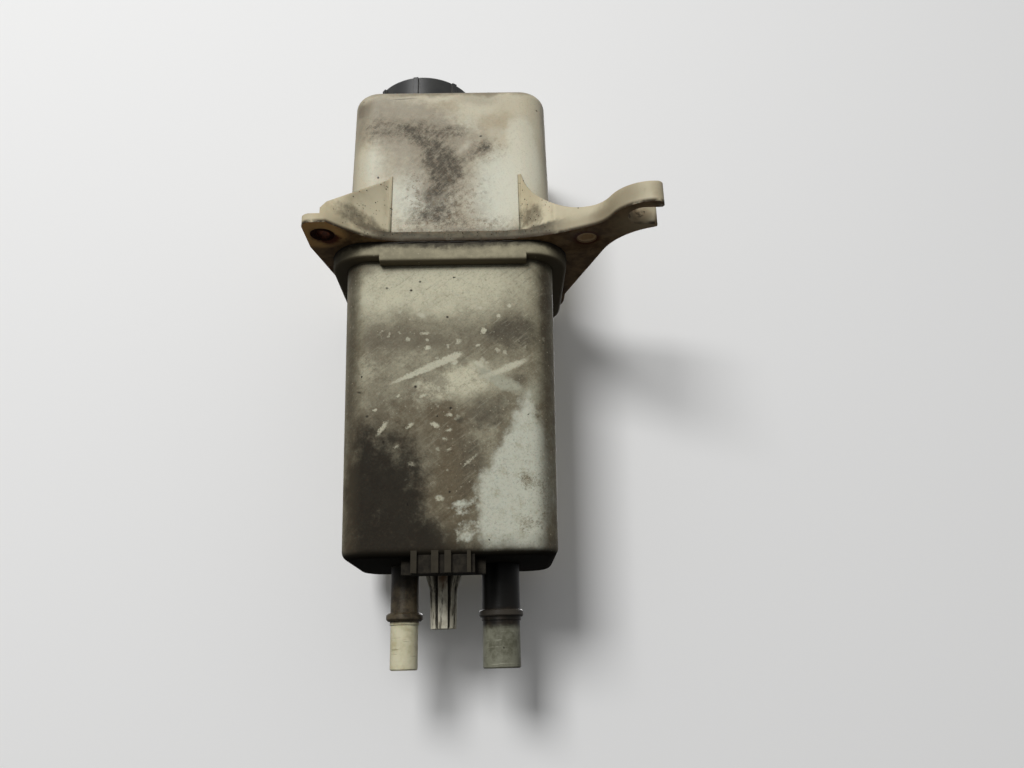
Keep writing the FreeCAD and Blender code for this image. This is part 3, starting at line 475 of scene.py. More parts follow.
plate_parts = ("front_plate", "back_plate", "ear_plate", "arm_plate")
cuts = (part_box("front_plate")[0][0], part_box("front_plate")[1][0])
whole = bmesh.new()
for node in plate_parts:
    whole.from_mesh(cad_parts[node].data)
inner = [f for f in whole.faces if any(all(abs(v.co.x - cut) < 1e-6 for v in f.verts) for cut in cuts)]
bmesh.ops.delete(whole, geom=inner, context="FACES")
bmesh.ops.remove_doubles(whole, verts=whole.verts, dist=2e-6)
plate_mesh = bpy.data.meshes.new("mounting_plate")
whole.to_mesh(plate_mesh)
whole.free()
plate_mesh.shade_smooth()
plate_mesh.set_sharp_from_angle(angle=math.radians(32))
plate_mesh.materials.clear()
plate_mesh.materials.append(plate_finish)
for face in plate_mesh.polygons:
    face.material_index = 0
mounting_plate = bpy.data.objects.new("mounting_plate", plate_mesh)
bpy.context.collection.objects.link(mounting_plate)
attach(mounting_plate, "tank")
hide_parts(*plate_parts)

# Lower half of the tank with its foot pad: the same milky plastic, greyer and much dirtier. Fluid has run down the
# front and held dust at the lower left, a wiped area stays clean at the lower right, and stones and tools have
# scratched it.

lower = Finish("lower_half_plastic", 0.55, Subsurface_Weight=0.05, Subsurface_Scale=0.003, Specular_IOR_Level=0.08)
loose = lower.ragged(0.07, 8.0)
loose = lower.ragged(0.5, 2.2, loose)
grain = lower.cloud(0.9, 5.0, 0.7)
mottle = lower.swing(0.25, 6.0, 0.75)
grit_noise = lower.swing(1.1, 5.0, 0.85)
down = lower.axis(loose, 2)
lower.base((128, 122, 102), (144, 139, 118), lower.blotches(0.35, 0.68, 0.08, 5.0, 0.65))
light_spots = [
    (50, -17, 46, 24, 0, 1.0), (20, -22, 14, 18, 0, 0.7), (84, -20, 12, 16, 0, 0.15), (54, -60, 30, 12, 15, 1.0),
    (16, -52, 10, 14, 0, 0.45), (36, -50, 20, 9, 20, 0.35),
]
light = lower.roughened(lower.patches(loose, light_spots), mottle, 0.9, 0.05, 1.0)
lower.layer((194, 190, 165), light)
band_spots = [
    (28, -41, 28, 9, 0, 0.85), (58, -43, 28, 8, 0, 0.6), (76, -34, 18, 9, 20, 0.5), (24, -68, 24, 10, 0, 0.45),
    (9, -40, 6, 60, 0, 0.4),
]
taupe = lower.roughened(lower.patches(loose, band_spots), mottle, 1.0, 0.1, 0.95)
lower.layer((108, 101, 84), taupe, 0.85)
front = lower.band(lower.facing(1), -0.2, -0.8)
grime = lower.blotches(0.44, 0.6, 0.11, 7.0, 0.78)
grime = lower.times(
    grime,
    lower.step(
        "ShaderNodeMapRange", {"Value": down, "From Min": -25.0, "From Max": -65.0, "To Min": 0.15, "To Max": 0.65},
    ).outputs[0],
)
lower.layer((96, 87, 70), grime)
film_spots = [
    (20, -116, 44, 50, 0, 0.8), (33, -92, 24, 28, 20, 0.3), (10, -86, 16, 40, 0, 0.35), (44, -124, 34, 18, 0, 0.6),
    (28, -76, 26, 20, 0, 0.22),
]
film = lower.patches(loose, film_spots)
film = lower.roughened(film, mottle, 0.9, 0.0, 0.85)
film_tone = lower.coat((88, 80, 66), (32, 28, 23), lower.band(film, 0.3, 1.0))
lower.layer(film_tone, film, 0.95)
brown_spots = [
    (52, -96, 15, 38, 0, 0.95), (47, -71, 6, 6, 0, 0.7), (66, -46, 10, 5, 20, 0.3), (14, -46, 8, 5, 0, 0.4),
    (40, -72, 24, 14, 0, 0.5),
]
lower.layer((92, 81, 62), lower.roughened(lower.patches(loose, brown_spots), mottle, 1.2, 0.0, 0.9), 0.85)
dark_spots = [
    (77, -39, 16, 12, 0, 0.9), (66, -72, 15, 11, 20, 0.7), (76, -58, 10, 6, 0, 0.6), (91, -46, 6, 66, 0, 0.7),
    (90, -16, 6, 22, 0, 0.6), (58, -88, 10, 16, 30, 0.65), (56, -100, 6, 12, 0, 0.5), (7, -60, 5, 70, 0, 0.45),
    (60, -38, 20, 6, 0, 0.35),
]
dark = lower.roughened(lower.patches(loose, dark_spots), mottle, 1.2, 0.15, 1.0)
lower.layer((76, 70, 58), dark, 0.88)
wiping = lower.strokes(38.0, 0.9)
lower.layer((184, 180, 158), lower.times(lower.band(wiping, 0.54, 0.7), lower.band(film, 0.9, 0.2)), 0.3)
lower.layer((56, 50, 40), lower.band(wiping, 0.46, 0.32), 0.3)
pale_run = lower.patches(loose, [(71, -59, 18, 4.5, -36, 0.9), (84, -64, 6, 12, 10, 0.5)])
lower.layer((160, 159, 140), lower.roughened(pale_run, mottle, 0.9, 0.1, 0.9))
wiped = lower.within(
    loose, (79.9, -64.0, -57), (89.5, -80.0, -90), (80.0, -125.5, 180), (60.4, -110.0, 92), (62.4, -93.8, 58.4),
)
rag = lower.patches(
    loose, [(56, -107, 9, 4, 30, 0.7), (55, -112, 9, 3, 20, 0.6), (47, -105, 4, 3, 0, 0.45), (57, -118, 8, 6, 30, 0.6)],
)
clean = lower.plus(wiped, mottle, 9.0)
clean = lower.plus(clean, grit_noise, 5.0)
clean = lower.band(clean, -1.0, 3.5)
clean = lower.maths("ADD", clean, lower.roughened(rag, mottle, 1.6, 0.35, 0.8))
clean = lower.times(clean, lower.band(lower.axis(loose, 1), 32.0, 16.0))
clean_tone = lower.coat((186, 187, 171), (164, 162, 142), lower.blotches(0.48, 0.72, 0.2, 6.0, 0.75))
stain = lower.patches(loose, [(80, -99, 6, 7, 0, 0.6), (79, -116, 8, 6, 0, 0.5), (86, -108, 5, 24, 0, 0.45)])
clean_tone = lower.coat(clean_tone, (108, 98, 76), lower.roughened(stain, lower.times(grit_noise, 1.5), 1.0, 0.2, 0.9))
lower.layer(clean_tone, clean)
floor_edge = lower.band(down, -117.5, -127.5)
lower.layer((42, 37, 30), floor_edge, 0.8)
# Painted shade: the rounded corners of the front, turned sideways, are darkened.
corner = lower.maths("ABSOLUTE", lower.facing(0))
corner = lower.band(corner, 0.2, 0.75)
lower.layer((66, 59, 47), lower.times(corner, front), 0.75)
off_front = lower.band(lower.facing(1), -0.85, -0.3)
streaks = lower.blotches(0.42, 0.7, 0.26, 5.0, 0.7, stretch=(1.0, 1.0, 0.14))
lower.layer((84, 76, 60), lower.times(streaks, off_front), 0.6)
scratch_spots = [
    (43.5, -52.5, 15.5, 2.4, 23.8, 0.95), (51.5, -49.0, 6.5, 2.3, 23.8, 0.8), (33.5, -56.9, 11, 1.4, 23.8, 0.7),
    (74.8, -53.2, 10.5, 2.3, 22.4, 0.85), (66.0, -56.6, 9.0, 1.8, 20.0, 0.55), (61.7, -52.0, 4.2, 1.8, -31, 0.8),
    (63.5, -50.5, 2.0, 2.2, 0, 0.5), (24.5, -77.5, 5.8, 1.6, 55, 0.62), (35.1, -76.8, 3.2, 1.1, 35, 0.6),
    (58.2, -91.0, 6.5, 0.9, 40, 0.5), (38.9, -30.6, 3.4, 1.8, -20, 0.65), (41.6, -44.7, 2.2, 1.3, 0, 1.0),
    (64.1, -37.9, 1.8, 1.8, 0, 1.0), (62.8, -28.0, 1.5, 1.3, 0, 1.0), (40.5, -38.6, 3.4, 1.0, 0, 0.6),
    (54.0, -42.3, 2.2, 1.6, 40, 0.55), (70.2, -31.5, 1.2, 1.2, 0, 0.9), (74.6, -27.2, 1.2, 1.2, 0, 0.9),
    (61.8, -44.0, 1.4, 1.0, 0, 0.7), (40.0, -64.7, 2.6, 1.2, 15, 0.7), (30.3, -64.6, 1.2, 1.0, 0, 0.7),
    (21.4, -70.2, 1.4, 0.9, 20, 0.8), (44.8, -76.7, 3.0, 1.6, -20, 0.75), (50.2, -78.8, 2.2, 1.1, 10, 0.55),
    (48.6, -82.4, 2.0, 1.2, -15, 0.45), (50.0, -86.6, 2.4, 1.1, 20, 0.45), (50.6, -72.8, 1.6, 1.1, 0, 0.65),
    (52.5, -51.2, 2.4, 1.4, 20, 0.8), (59.9, -54.0, 1.4, 1.2, 0, 0.7), (46.8, -105.3, 2.8, 1.8, 0, 0.6),
    (53.1, -21.5, 4.4, 1.0, -35, 0.6), (16.1, -23.6, 4.5, 4.5, 0, 0.5), (30.0, -85.0, 2.0, 1.2, 30, 0.4),
    (36.0, -92.0, 3.0, 1.6, -20, 0.35),
]
rubbed = lower.patches(lower.ragged(1.1, 1.6), scratch_spots)
scratch = lower.roughened(rubbed, grit_noise, 2.2, 0.1, 0.75)
scratch = lower.times(scratch, lower.band(rubbed, 0.0, 0.2))
lower.layer((186, 183, 161), scratch)
wide_specks = lower.specks(0.26, 0.28, 0.26, lower.ragged(0.6, 3.0))
speck_where = lower.patches(lower.place, [(50, -42, 58, 44, 0, 1.0), (48, -92, 20, 34, 0, 0.6)])
lower.layer((180, 177, 156), lower.times(wide_specks, speck_where), 0.75)
fine_specks = lower.specks(0.6, 0.22, 0.28)
lower.layer((168, 163, 141), lower.times(fine_specks, lower.band(film, 0.7, 0.1)), 0.5)
lower.layer((62, 56, 45), lower.band(grit_noise, -0.02, 0.2), 0.42)
pale_grain = lower.times(lower.band(grit_noise, -0.05, -0.2), lower.band(film, 0.8, 0.1))
lower.layer((176, 171, 148), pale_grain, 0.3)
lower.layer((30, 27, 22), lower.specks(0.17, 0.1, 0.3, loose))
dark_marks = [
    (34.7, -19.7, 0.9, 0.8, 0, 1.0), (49.5, -31.7, 0.8, 0.7, 0, 1.0), (37.0, -61.0, 1.0, 0.9, 0, 1.0),
    (50.8, -70.0, 0.9, 0.8, 0, 1.0), (18.4, -72.7, 0.9, 0.8, 0, 0.9), (24.9, -83.1, 0.8, 1.0, 0, 0.9),
    (14.9, -62.7, 1.6, 0.7, -20, 0.8), (38.3, -15.9, 0.8, 0.7, 0, 0.9), (24.8, -18.6, 0.8, 0.8, 0, 0.8),
    (54.4, -74.9, 2.4, 2.0, 0, 0.55),
]
lower.layer((36, 31, 24), lower.patches(lower.place, dark_marks))
# Painted shade: inner corners, found by occlusion, are darkened.
lower.layer((60, 55, 42), lower.crevice(7.0, 0.4, 0.85), 0.7)
# Painted shade: the faces that look downwards are painted near black, and made rough so that they reflect little.
shaded_underside = lower.band(lower.facing(2), -0.2, -0.7)
lower.layer((27, 24, 18), shaded_underside, 0.96)
gloss = lower.step("ShaderNodeMapRange", {"Value": film, "To Min": 0.48, "To Max": 0.72}).outputs[0]
gloss = lower.maths("MAXIMUM", gloss, shaded_underside)
lower_finish = lower.finished(gloss, grain, 0.05, 0.5)
dressed(lower_finish, "lower_shell")

pad = Finish("foot_pad_plastic", 0.75, Specular_IOR_Level=0.12)
pad.base((46, 42, 34), (28, 25, 20), pad.blotches(0.35, 0.65, 0.35, 5.0, 0.7))
pad_rib = pad.band(pad.axis(pad.place, 1), 14.4, 13.8)
pad.layer((64, 59, 48), pad_rib, 0.5)
# Painted shade: inner corners and the faces that look downwards are darkened.
pad.layer((28, 25, 19), pad.crevice(2.5, 0.4, 0.85), 0.85)
pad.layer((26, 23, 17), pad.band(pad.facing(2), -0.4, -0.8))
dressed(pad.finished(None, pad.cloud(1.0, 4.0), 0.06, 0.4), "foot_pad")

# Weld flange: the thick lip of the lower half, melted onto the plate above it. Handling has worn its front edge pale,
# and dirt and painted shadow under the plate's edge darken the seam, where a thin ragged flash of melted plastic stands
# out. Its ends and underside are darkened as painted shade.

lip = Finish("weld_lip_plastic", 0.65, Specular_IOR_Level=0.15)
loose = lip.ragged(0.3, 2.0)
lip_height = lip.axis(loose, 2)
lip.base((134, 128, 106), (158, 151, 126), lip.blotches(0.4, 0.66, 0.12, 6.0, 0.75))
lip_mottle = lip.blotches(0.38, 0.7, 0.3, 6.0, 0.75)
lip.layer((70, 65, 52), lip.times(lip_mottle, lip.band(lip_height, -4.2, -1.6)))
# Dirt in the seam and painted shadow under the plate's edge darken the top of the lip.
lip.layer((46, 42, 33), lip.band(lip_height, -3.2, -0.6), 0.9)
lip_smudge = lip.patch(loose, (52.0, 10.0, -1.6), (26.0, 12.0, 3.6), core=0.2)
lip.layer((56, 51, 41), lip.times(lip_smudge, lip.blotches(0.3, 0.58, 0.35, 5.0, 0.75)), 0.85)
# Painted shade: the lip's ends, turned sideways, are darkened.
lip_side = lip.maths("ABSOLUTE", lip.facing(0))
lip.layer((58, 52, 41), lip.band(lip_side, 0.3, 0.85), 0.7)
# Painted shade on the faces that look downwards.
lip.layer((92, 84, 66), lip.band(lip.facing(2), -0.35, -0.8))
lip.layer((168, 163, 140), lip.specks(0.5, 0.2, 0.14), 0.6)
lip_finish = lip.finished(None, lip.cloud(0.5, 6.0, 0.7), 0.12, 0.6)
dressed(lip_finish, "weld_flange")

# Hose nozzles: plain moulded pipes. The seats that the hoses covered stayed clean, yellowish on the small one and grey-
# green on the large one, with rings rubbed in by the hoses; the parts above the beads are caked black and brown, and
# next to the tank they are painted near black as shade under the tank's bottom.

small = Finish("small_nozzle_plastic", 0.38, Specular_IOR_Level=0.25, Subsurface_Weight=0.08, Subsurface_Scale=0.003)
z_mm = small.axis(small.ragged(0.5, 1.2), 2)
seat = small.coat((206, 201, 172), (182, 175, 140), small.blotches(0.4, 0.68, 0.15, 4.0, 0.6))
rings = small.cloud(1.1, 3.0, 0.6, stretch=(0.15, 0.15, 1.6))
seat = small.coat(seat, (128, 118, 84), small.times(small.band(rings, 0.6, 0.72), 0.55))
caked = small.coat((88, 78, 60), (54, 47, 36), small.blotches(0.35, 0.65, 0.22, 5.0, 0.7))
small.base(seat, caked, small.band(z_mm, -149.6, -148.0))
# Painted shade: next to the tank, under its bottom, the nozzle is made near black.
small.layer((26, 23, 18), small.band(z_mm, -137.5, -128.0))
# Painted shade: inner corners, found by occlusion, are darkened.
small.layer((70, 62, 46), small.crevice(2.0, 0.4, 0.85), 0.7)
dressed(small.finished(None, small.times(rings, 0.5), 0.08, 0.3), "return_nozzle")

large = Finish("large_nozzle_plastic", 0.34, Specular_IOR_Level=0.2)
z_mm = large.axis(large.ragged(0.5, 1.6), 2)
seat = large.coat((122, 122, 106), (92, 91, 76), large.blotches(0.4, 0.66, 0.2, 5.0, 0.7))
seat = large.coat(seat, (36, 34, 28), large.specks(0.6, 0.24, 0.22, large.ragged(0.8, 1.2)))
rings = large.cloud(1.0, 3.0, 0.6, stretch=(0.15, 0.15, 1.6))
seat = large.coat(seat, (168, 168, 150), large.times(large.band(rings, 0.6, 0.72), 0.5))
oily = large.coat((42, 35, 27), (22, 20, 16), large.blotches(0.35, 0.62, 0.3, 5.0, 0.7))
large.base(seat, oily, large.band(z_mm, -152.5, -149.5))
bead = large.patch(large.place, (69.0, 44.3, -145.75), (12.0, 12.0, 2.0), core=0.85)
large.layer((24, 23, 20), large.band(z_mm, -144.2, -143.2))
large.layer((62, 57, 50), bead)
# Painted shade: next to the tank, under its bottom, the nozzle is made near black.
large.layer((12, 11, 9), large.band(z_mm, -136.0, -128.0))
dressed(large.finished(None, large.times(rings, 0.5), 0.08, 0.3), "supply_nozzle")

# Locating peg: crossed ribs that taper to a blunt end. The ribs' faces are rubbed clean, the grooves between them
# are painted near black as shade, and a rust stain runs down from the root.

peg = Finish("peg_plastic", 0.45, Specular_IOR_Level=0.25)
loose = peg.ragged(0.5, 2.0)
peg.base((206, 201, 182), (172, 166, 146), peg.blotches(0.35, 0.68, 0.3, 5.0, 0.7))
streaks = peg.cloud(0.6, 4.0, 0.6, stretch=(1.6, 1.6, 0.2))
peg.layer((60, 55, 45), peg.band(streaks, 0.53, 0.64), 0.8)
# Painted shade: the grooves between the ribs, found by occlusion, are made near black.
peg.layer((22, 20, 16), peg.crevice(3.0, 0.35, 0.8), 0.9)
peg.layer((104, 78, 52), peg.patch(loose, (46.2, 39.0, -131.0), (3.0, 6.0, 7.0)))
dressed(peg.finished(None, streaks, 0.1, 0.35), "locating_peg")

# Ear bush: a short steel sleeve, zinc plated once, now rusted red-brown all over with dark pits.

bush = Finish("rusted_bush_steel", 0.85, Specular_IOR_Level=0.1)
bush.base((58, 26, 11), (30, 14, 7), bush.blotches(0.35, 0.62, 0.7, 6.0, 0.7))
bush.layer((104, 56, 24), bush.specks(1.1, 0.3, 0.2), 0.5)
dressed(bush.finished(None, bush.cloud(1.2, 6.0, 0.75), 0.18, 0.2), "ear_bush")

# Screw cap: hard black plastic with upright grip ribs and a satin grain. It turns on the neck and stays fairly clean,
# with grey dust on its top and in the corners beside the ribs.

cap = Finish("cap_black_plastic", 0.42, IOR=1.5)
cap.base((34, 35, 35), (46, 46, 44), cap.blotches(0.4, 0.7, 0.12, 4.0, 0.6))
dust = cap.times(cap.band(cap.facing(2), 0.3, 0.95), cap.blotches(0.3, 0.7, 0.3, 5.0, 0.7))
cap.layer((96, 91, 80), dust, 0.5)
cap.layer((84, 79, 68), cap.crevice(1.6, 0.5, 0.9), 0.4)
cap_gloss = cap.step("ShaderNodeMapRange", {"Value": dust, "To Min": 0.4, "To Max": 0.75}).outputs[0]
cap_finish = cap.finished(cap_gloss, cap.cloud(2.2, 4.0, 0.6), 0.04, 0.35)
dressed(cap_finish, "cap_shell")

dressed(
    two_tone(
        "insert_black_plastic", 0.4, (30, 30, 31), (40, 40, 40), (0.4, 0.65, 0.4, 4.0), (2.0, 3.0), 0.03, 0.2, IOR=1.5,
    ),
    "cap_insert",
)

dressed(
    two_tone(
        "dipstick_plastic", 0.35, (42, 40, 38), (62, 52, 42), (0.4, 0.65, 0.3, 4.0), (1.6, 3.0), 0.03, 0.15, IOR=1.5,
    ),
    "dipstick",
)

# Soft parts of the cap: the flat sealing ring and the thin valve ring are black rubber, and the ring over the valve
# is grey felt that keeps dust out of the vent.

rubber_finish = two_tone(
    "seal_black_rubber", 0.6, (24, 24, 24), (38, 37, 36), (0.4, 0.65, 0.8, 4.0), (3.0, 3.0), 0.03, 0.15, IOR=1.5,
)
dressed(rubber_finish, "cap_seal", "cap_vent_valve", "filter_seal")

felt = Finish("vent_grey_felt", 0.95, Sheen_Weight=0.4)
fibres = felt.cloud(3.0, 6.0, 0.8, stretch=(1.0, 0.4, 1.0))
felt.base((150, 147, 140), (104, 101, 95), felt.band(fibres, 0.35, 0.65))
dressed(felt.finished(None, fibres, 0.25), "cap_vent_felt")

# Inner plastic parts: strainer basket, baffle plate, filter plates and core, outlet cage and standpipe. All are white
# nylon that the fluid has stained amber.

inner = Finish("inner_nylon", 0.38, IOR=1.53)
inner.base((206, 194, 160), (176, 152, 104), inner.blotches(0.35, 0.68, 0.08, 5.0, 0.65))
inner.layer((120, 92, 54), inner.crevice(3.0, 0.4, 0.85), 0.6)
inner_finish = inner.finished(None, inner.cloud(1.2, 3.0), 0.03, 0.2)
dressed(inner_finish, "strainer_frame", "baffle_plate", "filter_base", "filter_core", "filter_top", "outlet_frame",
        "return_standpipe")

# Swarf magnet: a grey ceramic disc, held in its pocket by a spring steel washer.

dressed(
    two_tone("magnet_ceramic", 0.7, (62, 60, 58), (44, 42, 40), (0.4, 0.62, 1.0, 5.0), (2.0, 5.0, 0.7), 0.08, 0.3),
    "magnet",
)

dressed(
    two_tone(
        "clip_spring_steel", 0.32, (150, 148, 144), (118, 110, 98), (0.4, 0.65, 0.6, 5.0), (2.5, 3.0), 0.02, 0.1,
        Metallic=1.0,
    ),
    "magnet_clip",
)

# Woven screens in the filler strainer, the outlet cage and around the filter: round wires that pass over and under
# each other, bent into a sleeve. The first two are nylon, the filter's is steel.


def new_tree(name, **inputs):
    """Geometry node tree with a mesh output and named inputs, each a number or a material."""
    tree = bpy.data.node_groups.new(name, "GeometryNodeTree")
    tree.interface.new_socket("Geometry", in_out="INPUT", socket_type="NodeSocketGeometry")
    tree.interface.new_socket("Geometry", in_out="OUTPUT", socket_type="NodeSocketGeometry")
    for label, kind in inputs.items():
        tree.interface.new_socket(label.replace("_", " "), in_out="INPUT", socket_type="NodeSocket" + kind)
    return tree, tree.nodes.new("NodeGroupInput"), tree.nodes.new("NodeGroupOutput")


def added(tree, kind, feeds=None, **settings):
    """New node in a geometry tree, with its settings and what feeds its sockets."""
    node = tree.nodes.new(kind)
    for setting, value in settings.items():
        setattr(node, setting, value)
    for socket, value in (feeds or {}).items():
        if isinstance(value, bpy.types.NodeSocket):
            tree.links.new(value, node.inputs[socket])
        else:
            node.inputs[socket].default_value = value
    return node


def made(tree, kind, feeds=None, **settings):
    """What a new node in a geometry tree gives."""
    return added(tree, kind, feeds, **settings).outputs[0]


def maths(tree, operation, a, b=0.0):
    return made(tree, "ShaderNodeMath", {0: a, 1: b}, operation=operation)


def closed(tree, shape, given, result):
    """Ends a tree, with its instances made real and its material set."""
    real = made(tree, "GeometryNodeRealizeInstances", {"Geometry": shape})
    coated = made(tree, "GeometryNodeSetMaterial", {"Geometry": real, "Material": given.outputs["Finish"]})
    tree.links.new(coated, result.inputs[0])


def grown(name, tree, values, start=None):
    """Runs a geometry tree on a mesh and keeps the result as a plain mesh object."""
    carrier = bpy.data.objects.new(name + "_carrier", start or bpy.data.meshes.new(name + "_start"))
    bpy.context.collection.objects.link(carrier)
    modifier = carrier.modifiers.new("shape", "NODES")
    modifier.node_group = tree
    for item in tree.interface.items_tree:
        if item.in_out == "INPUT" and item.name in values:
            modifier[item.identifier] = values[item.name]
    carrier.update_tag()
    bpy.context.view_layer.update()
    seen = carrier.evaluated_get(bpy.context.evaluated_depsgraph_get())
    mesh = bpy.data.meshes.new_from_object(seen)
    mesh.name = name
    bpy.data.objects.remove(carrier)
    piece = bpy.data.objects.new(name, mesh)
    bpy.context.collection.objects.link(piece)
    return piece


weave, given, result = new_tree(
    "woven_sleeve", Radius="Float", Low="Float", High="Float", Centre_X="Float", Centre_Y="Float", Around="Int",
    Along="Int", Wire="Float", Finish="Material",
)
sets = []
for flip in (1.0, -1.0):
    columns = maths(weave, "ADD", given.outputs["Around"], 1.0)
    sheet = made(weave, "GeometryNodeMeshGrid", {"Vertices X": columns, "Vertices Y": given.outputs["Along"]})
    number = made(weave, "GeometryNodeInputIndex")
    column = maths(weave, "FLOOR", maths(weave, "DIVIDE", number, given.outputs["Along"]))
    row = maths(weave, "MODULO", number, given.outputs["Along"])
    angle = maths(weave, "MULTIPLY", maths(weave, "DIVIDE", column, given.outputs["Around"]), 2 * math.pi)
    parity = maths(weave, "MODULO", maths(weave, "ADD", column, row), 2.0)
    side = maths(weave, "SUBTRACT", maths(weave, "MULTIPLY", parity, 2.0), 1.0)
    lift = maths(weave, "MULTIPLY", maths(weave, "MULTIPLY", side, given.outputs["Wire"]), flip)
    radius = maths(weave, "ADD", given.outputs["Radius"], lift)
    x = maths(weave, "ADD", maths(weave, "MULTIPLY", radius, maths(weave, "COSINE", angle)), given.outputs["Centre X"])
    y = maths(weave, "ADD", maths(weave, "MULTIPLY", radius, maths(weave, "SINE", angle)), given.outputs["Centre Y"])
    last = maths(weave, "SUBTRACT", given.outputs["Along"], 1.0)
    span = maths(weave, "SUBTRACT", given.outputs["High"], given.outputs["Low"])
    z = maths(weave, "ADD", maths(weave, "MULTIPLY", maths(weave, "DIVIDE", row, last), span), given.outputs["Low"])
    spot = made(weave, "ShaderNodeCombineXYZ", {"X": x, "Y": y, "Z": z})
    ends = added(weave, "GeometryNodeInputMeshEdgeVertices")
    first = made(
        weave, "GeometryNodeFieldAtIndex", {"Index": ends.outputs["Vertex Index 1"], "Value": column},
        data_type="FLOAT",
    )
    second = made(
        weave, "GeometryNodeFieldAtIndex", {"Index": ends.outputs["Vertex Index 2"], "Value": column},
        data_type="FLOAT",
    )
    apart = maths(weave, "ABSOLUTE", maths(weave, "SUBTRACT", first, second))
    across = maths(weave, "GREATER_THAN", apart, 0.5) if flip > 0 else maths(weave, "LESS_THAN", apart, 0.5)
    threads = added(
        weave, "GeometryNodeDeleteGeometry", {"Geometry": sheet, "Selection": across}, domain="EDGE", mode="EDGE_FACE",
    )
    bent = made(weave, "GeometryNodeSetPosition", {"Geometry": threads.outputs[0], "Position": spot})
    sets.append(made(weave, "GeometryNodeMeshToCurve", {"Mesh": bent}))
joined = added(weave, "GeometryNodeJoinGeometry")
for threads in sets:
    weave.links.new(threads, joined.inputs[0])
section = made(weave, "GeometryNodeCurvePrimitiveCircle", {"Resolution": 5, "Radius": given.outputs["Wire"]})
wires = made(
    weave, "GeometryNodeCurveToMesh", {"Curve": joined.outputs[0], "Profile Curve": section, "Fill Caps": True},
)
closed(weave, wires, given, result)

nylon_finish = two_tone(
    "screen_nylon", 0.4, (214, 204, 172), (170, 146, 100), (0.4, 0.65, 0.1, 4.0), (3.0, 2.0), 0.02, IOR=1.53,
)
wire_finish = two_tone(
    "screen_steel", 0.3, (168, 164, 156), (132, 118, 92), (0.4, 0.65, 0.15, 4.0), (4.0, 2.0), 0.01, Metallic=1.0,
)

wire = 0.00011
sleeve_inset = 0.00035
screens = [("strainer_mesh", "strainer_screen", 0.0011, nylon_finish, "nylon_mesh"),
           ("outlet_mesh", "outlet_screen", 0.0010, nylon_finish, "nylon_mesh"),
           ("filter_screen", "filter_sleeve", 0.0012, wire_finish, "steel_mesh")]
for node, name, pitch, finish, slot_name in screens:
    low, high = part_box(node)
    sleeve_r = (high[0] - low[0]) / 2 - sleeve_inset
    piece = grown(name, weave, {
        "Radius": sleeve_r,
        "Low": low[2] + wire,
        "High": high[2] - wire,
        "Centre X": (low[0] + high[0]) / 2,
        "Centre Y": (low[1] + high[1]) / 2,
        "Around": 2 * round(math.pi * sleeve_r / pitch),
        "Along": 1 + round((high[2] - low[2]) / pitch),
        "Wire": wire,
        "Finish": finish,
    })
    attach(piece, "tank")
    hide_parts(node)

# Screw thread: one turn of a low ridge on the neck, and a shorter one inside the cap that starts half a pitch higher.
# Both are moulded on, rise to the left and fade out at their ends. The cap covers them at rest.

thread_pitch = 0.0040
thread_start = 0.0020
neck_ridge_lift = 0.0003
cap_ridge_r = 0.0212
ridge_root = 0.0019
ridge_crest = 0.0009
ridge_height = 0.0009
end_slope = 14.0
end_size = 0.15

screw, given, result = new_tree(
    "thread_ridge", Radius="Float", Start="Float", Turns="Float", Pitch="Float", Side="Float", Centre_X="Float",
    Centre_Y="Float", Finish="Material",
)
rise = maths(screw, "MULTIPLY", given.outputs["Pitch"], given.outputs["Turns"])
helix = made(
    screw, "GeometryNodeCurveSpiral",
    {
        "Resolution": 64, "Rotations": given.outputs["Turns"], "Start Radius": given.outputs["Radius"],
        "End Radius": given.outputs["Radius"], "Height": rise,
    },
)
spot = made(
    screw, "ShaderNodeCombineXYZ",
    {"X": given.outputs["Centre X"], "Y": given.outputs["Centre Y"], "Z": given.outputs["Start"]},
)
placed = made(screw, "GeometryNodeTransform", {"Geometry": helix, "Translation": spot})
share = added(screw, "GeometryNodeSplineParameter").outputs["Factor"]
near_end = maths(screw, "MINIMUM", share, maths(screw, "SUBTRACT", 1.0, share))
swell = maths(screw, "MINIMUM", maths(screw, "ADD", maths(screw, "MULTIPLY", near_end, end_slope), end_size), 1.0)
placed = made(screw, "GeometryNodeSetCurveNormal", {"Curve": placed}, mode="Z_UP")
profile = made(
    screw, "GeometryNodeCurvePrimitiveQuadrilateral",
    {"Bottom Width": ridge_root, "Top Width": ridge_crest, "Height": ridge_height, "Offset": 0.0}, mode="TRAPEZOID",
)
turn_by = made(screw, "ShaderNodeCombineXYZ", {"Z": given.outputs["Side"]})
profile = made(screw, "GeometryNodeTransform", {"Geometry": profile, "Rotation": turn_by})
ridge = made(
    screw, "GeometryNodeCurveToMesh", {"Curve": placed, "Profile Curve": profile, "Scale": swell, "Fill Caps": True},
)
closed(screw, ridge, given, result)

neck_low, neck_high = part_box("filler_neck")
neck_r = (neck_high[0] - neck_low[0]) / 2
neck_x = (neck_low[0] + neck_high[0]) / 2
neck_y = (neck_low[1] + neck_high[1]) / 2
ridge_low = neck_low[2] + thread_start
common = {"Pitch": thread_pitch, "Centre X": neck_x, "Centre Y": neck_y}
neck_thread = grown("neck_thread", screw, {
    **common, "Radius": neck_r + neck_ridge_lift, "Start": ridge_low, "Turns": 1.0, "Side": math.pi / 2,
    "Finish": upper_finish,
})
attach(neck_thread, "tank")
cap_thread = grown("cap_thread", screw, {
    **common, "Radius": cap_ridge_r, "Start": ridge_low + thread_pitch / 2, "Turns": 0.85, "Side": -math.pi / 2,
    "Finish": cap_finish,
})
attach(cap_thread, "cap")

# Weld flash: the thin ragged bead of plastic that was pressed out of the seam when the two halves were welded,
# dark with dirt and with painted shadow of the seam gap. It follows the outline of the lip, tucked under the plate's
# edge.

flash_r = 0.0004
flash_steps = 420
flash_waves = 260.0
flash_push = 0.0009
lip_corner_r = 0.0165

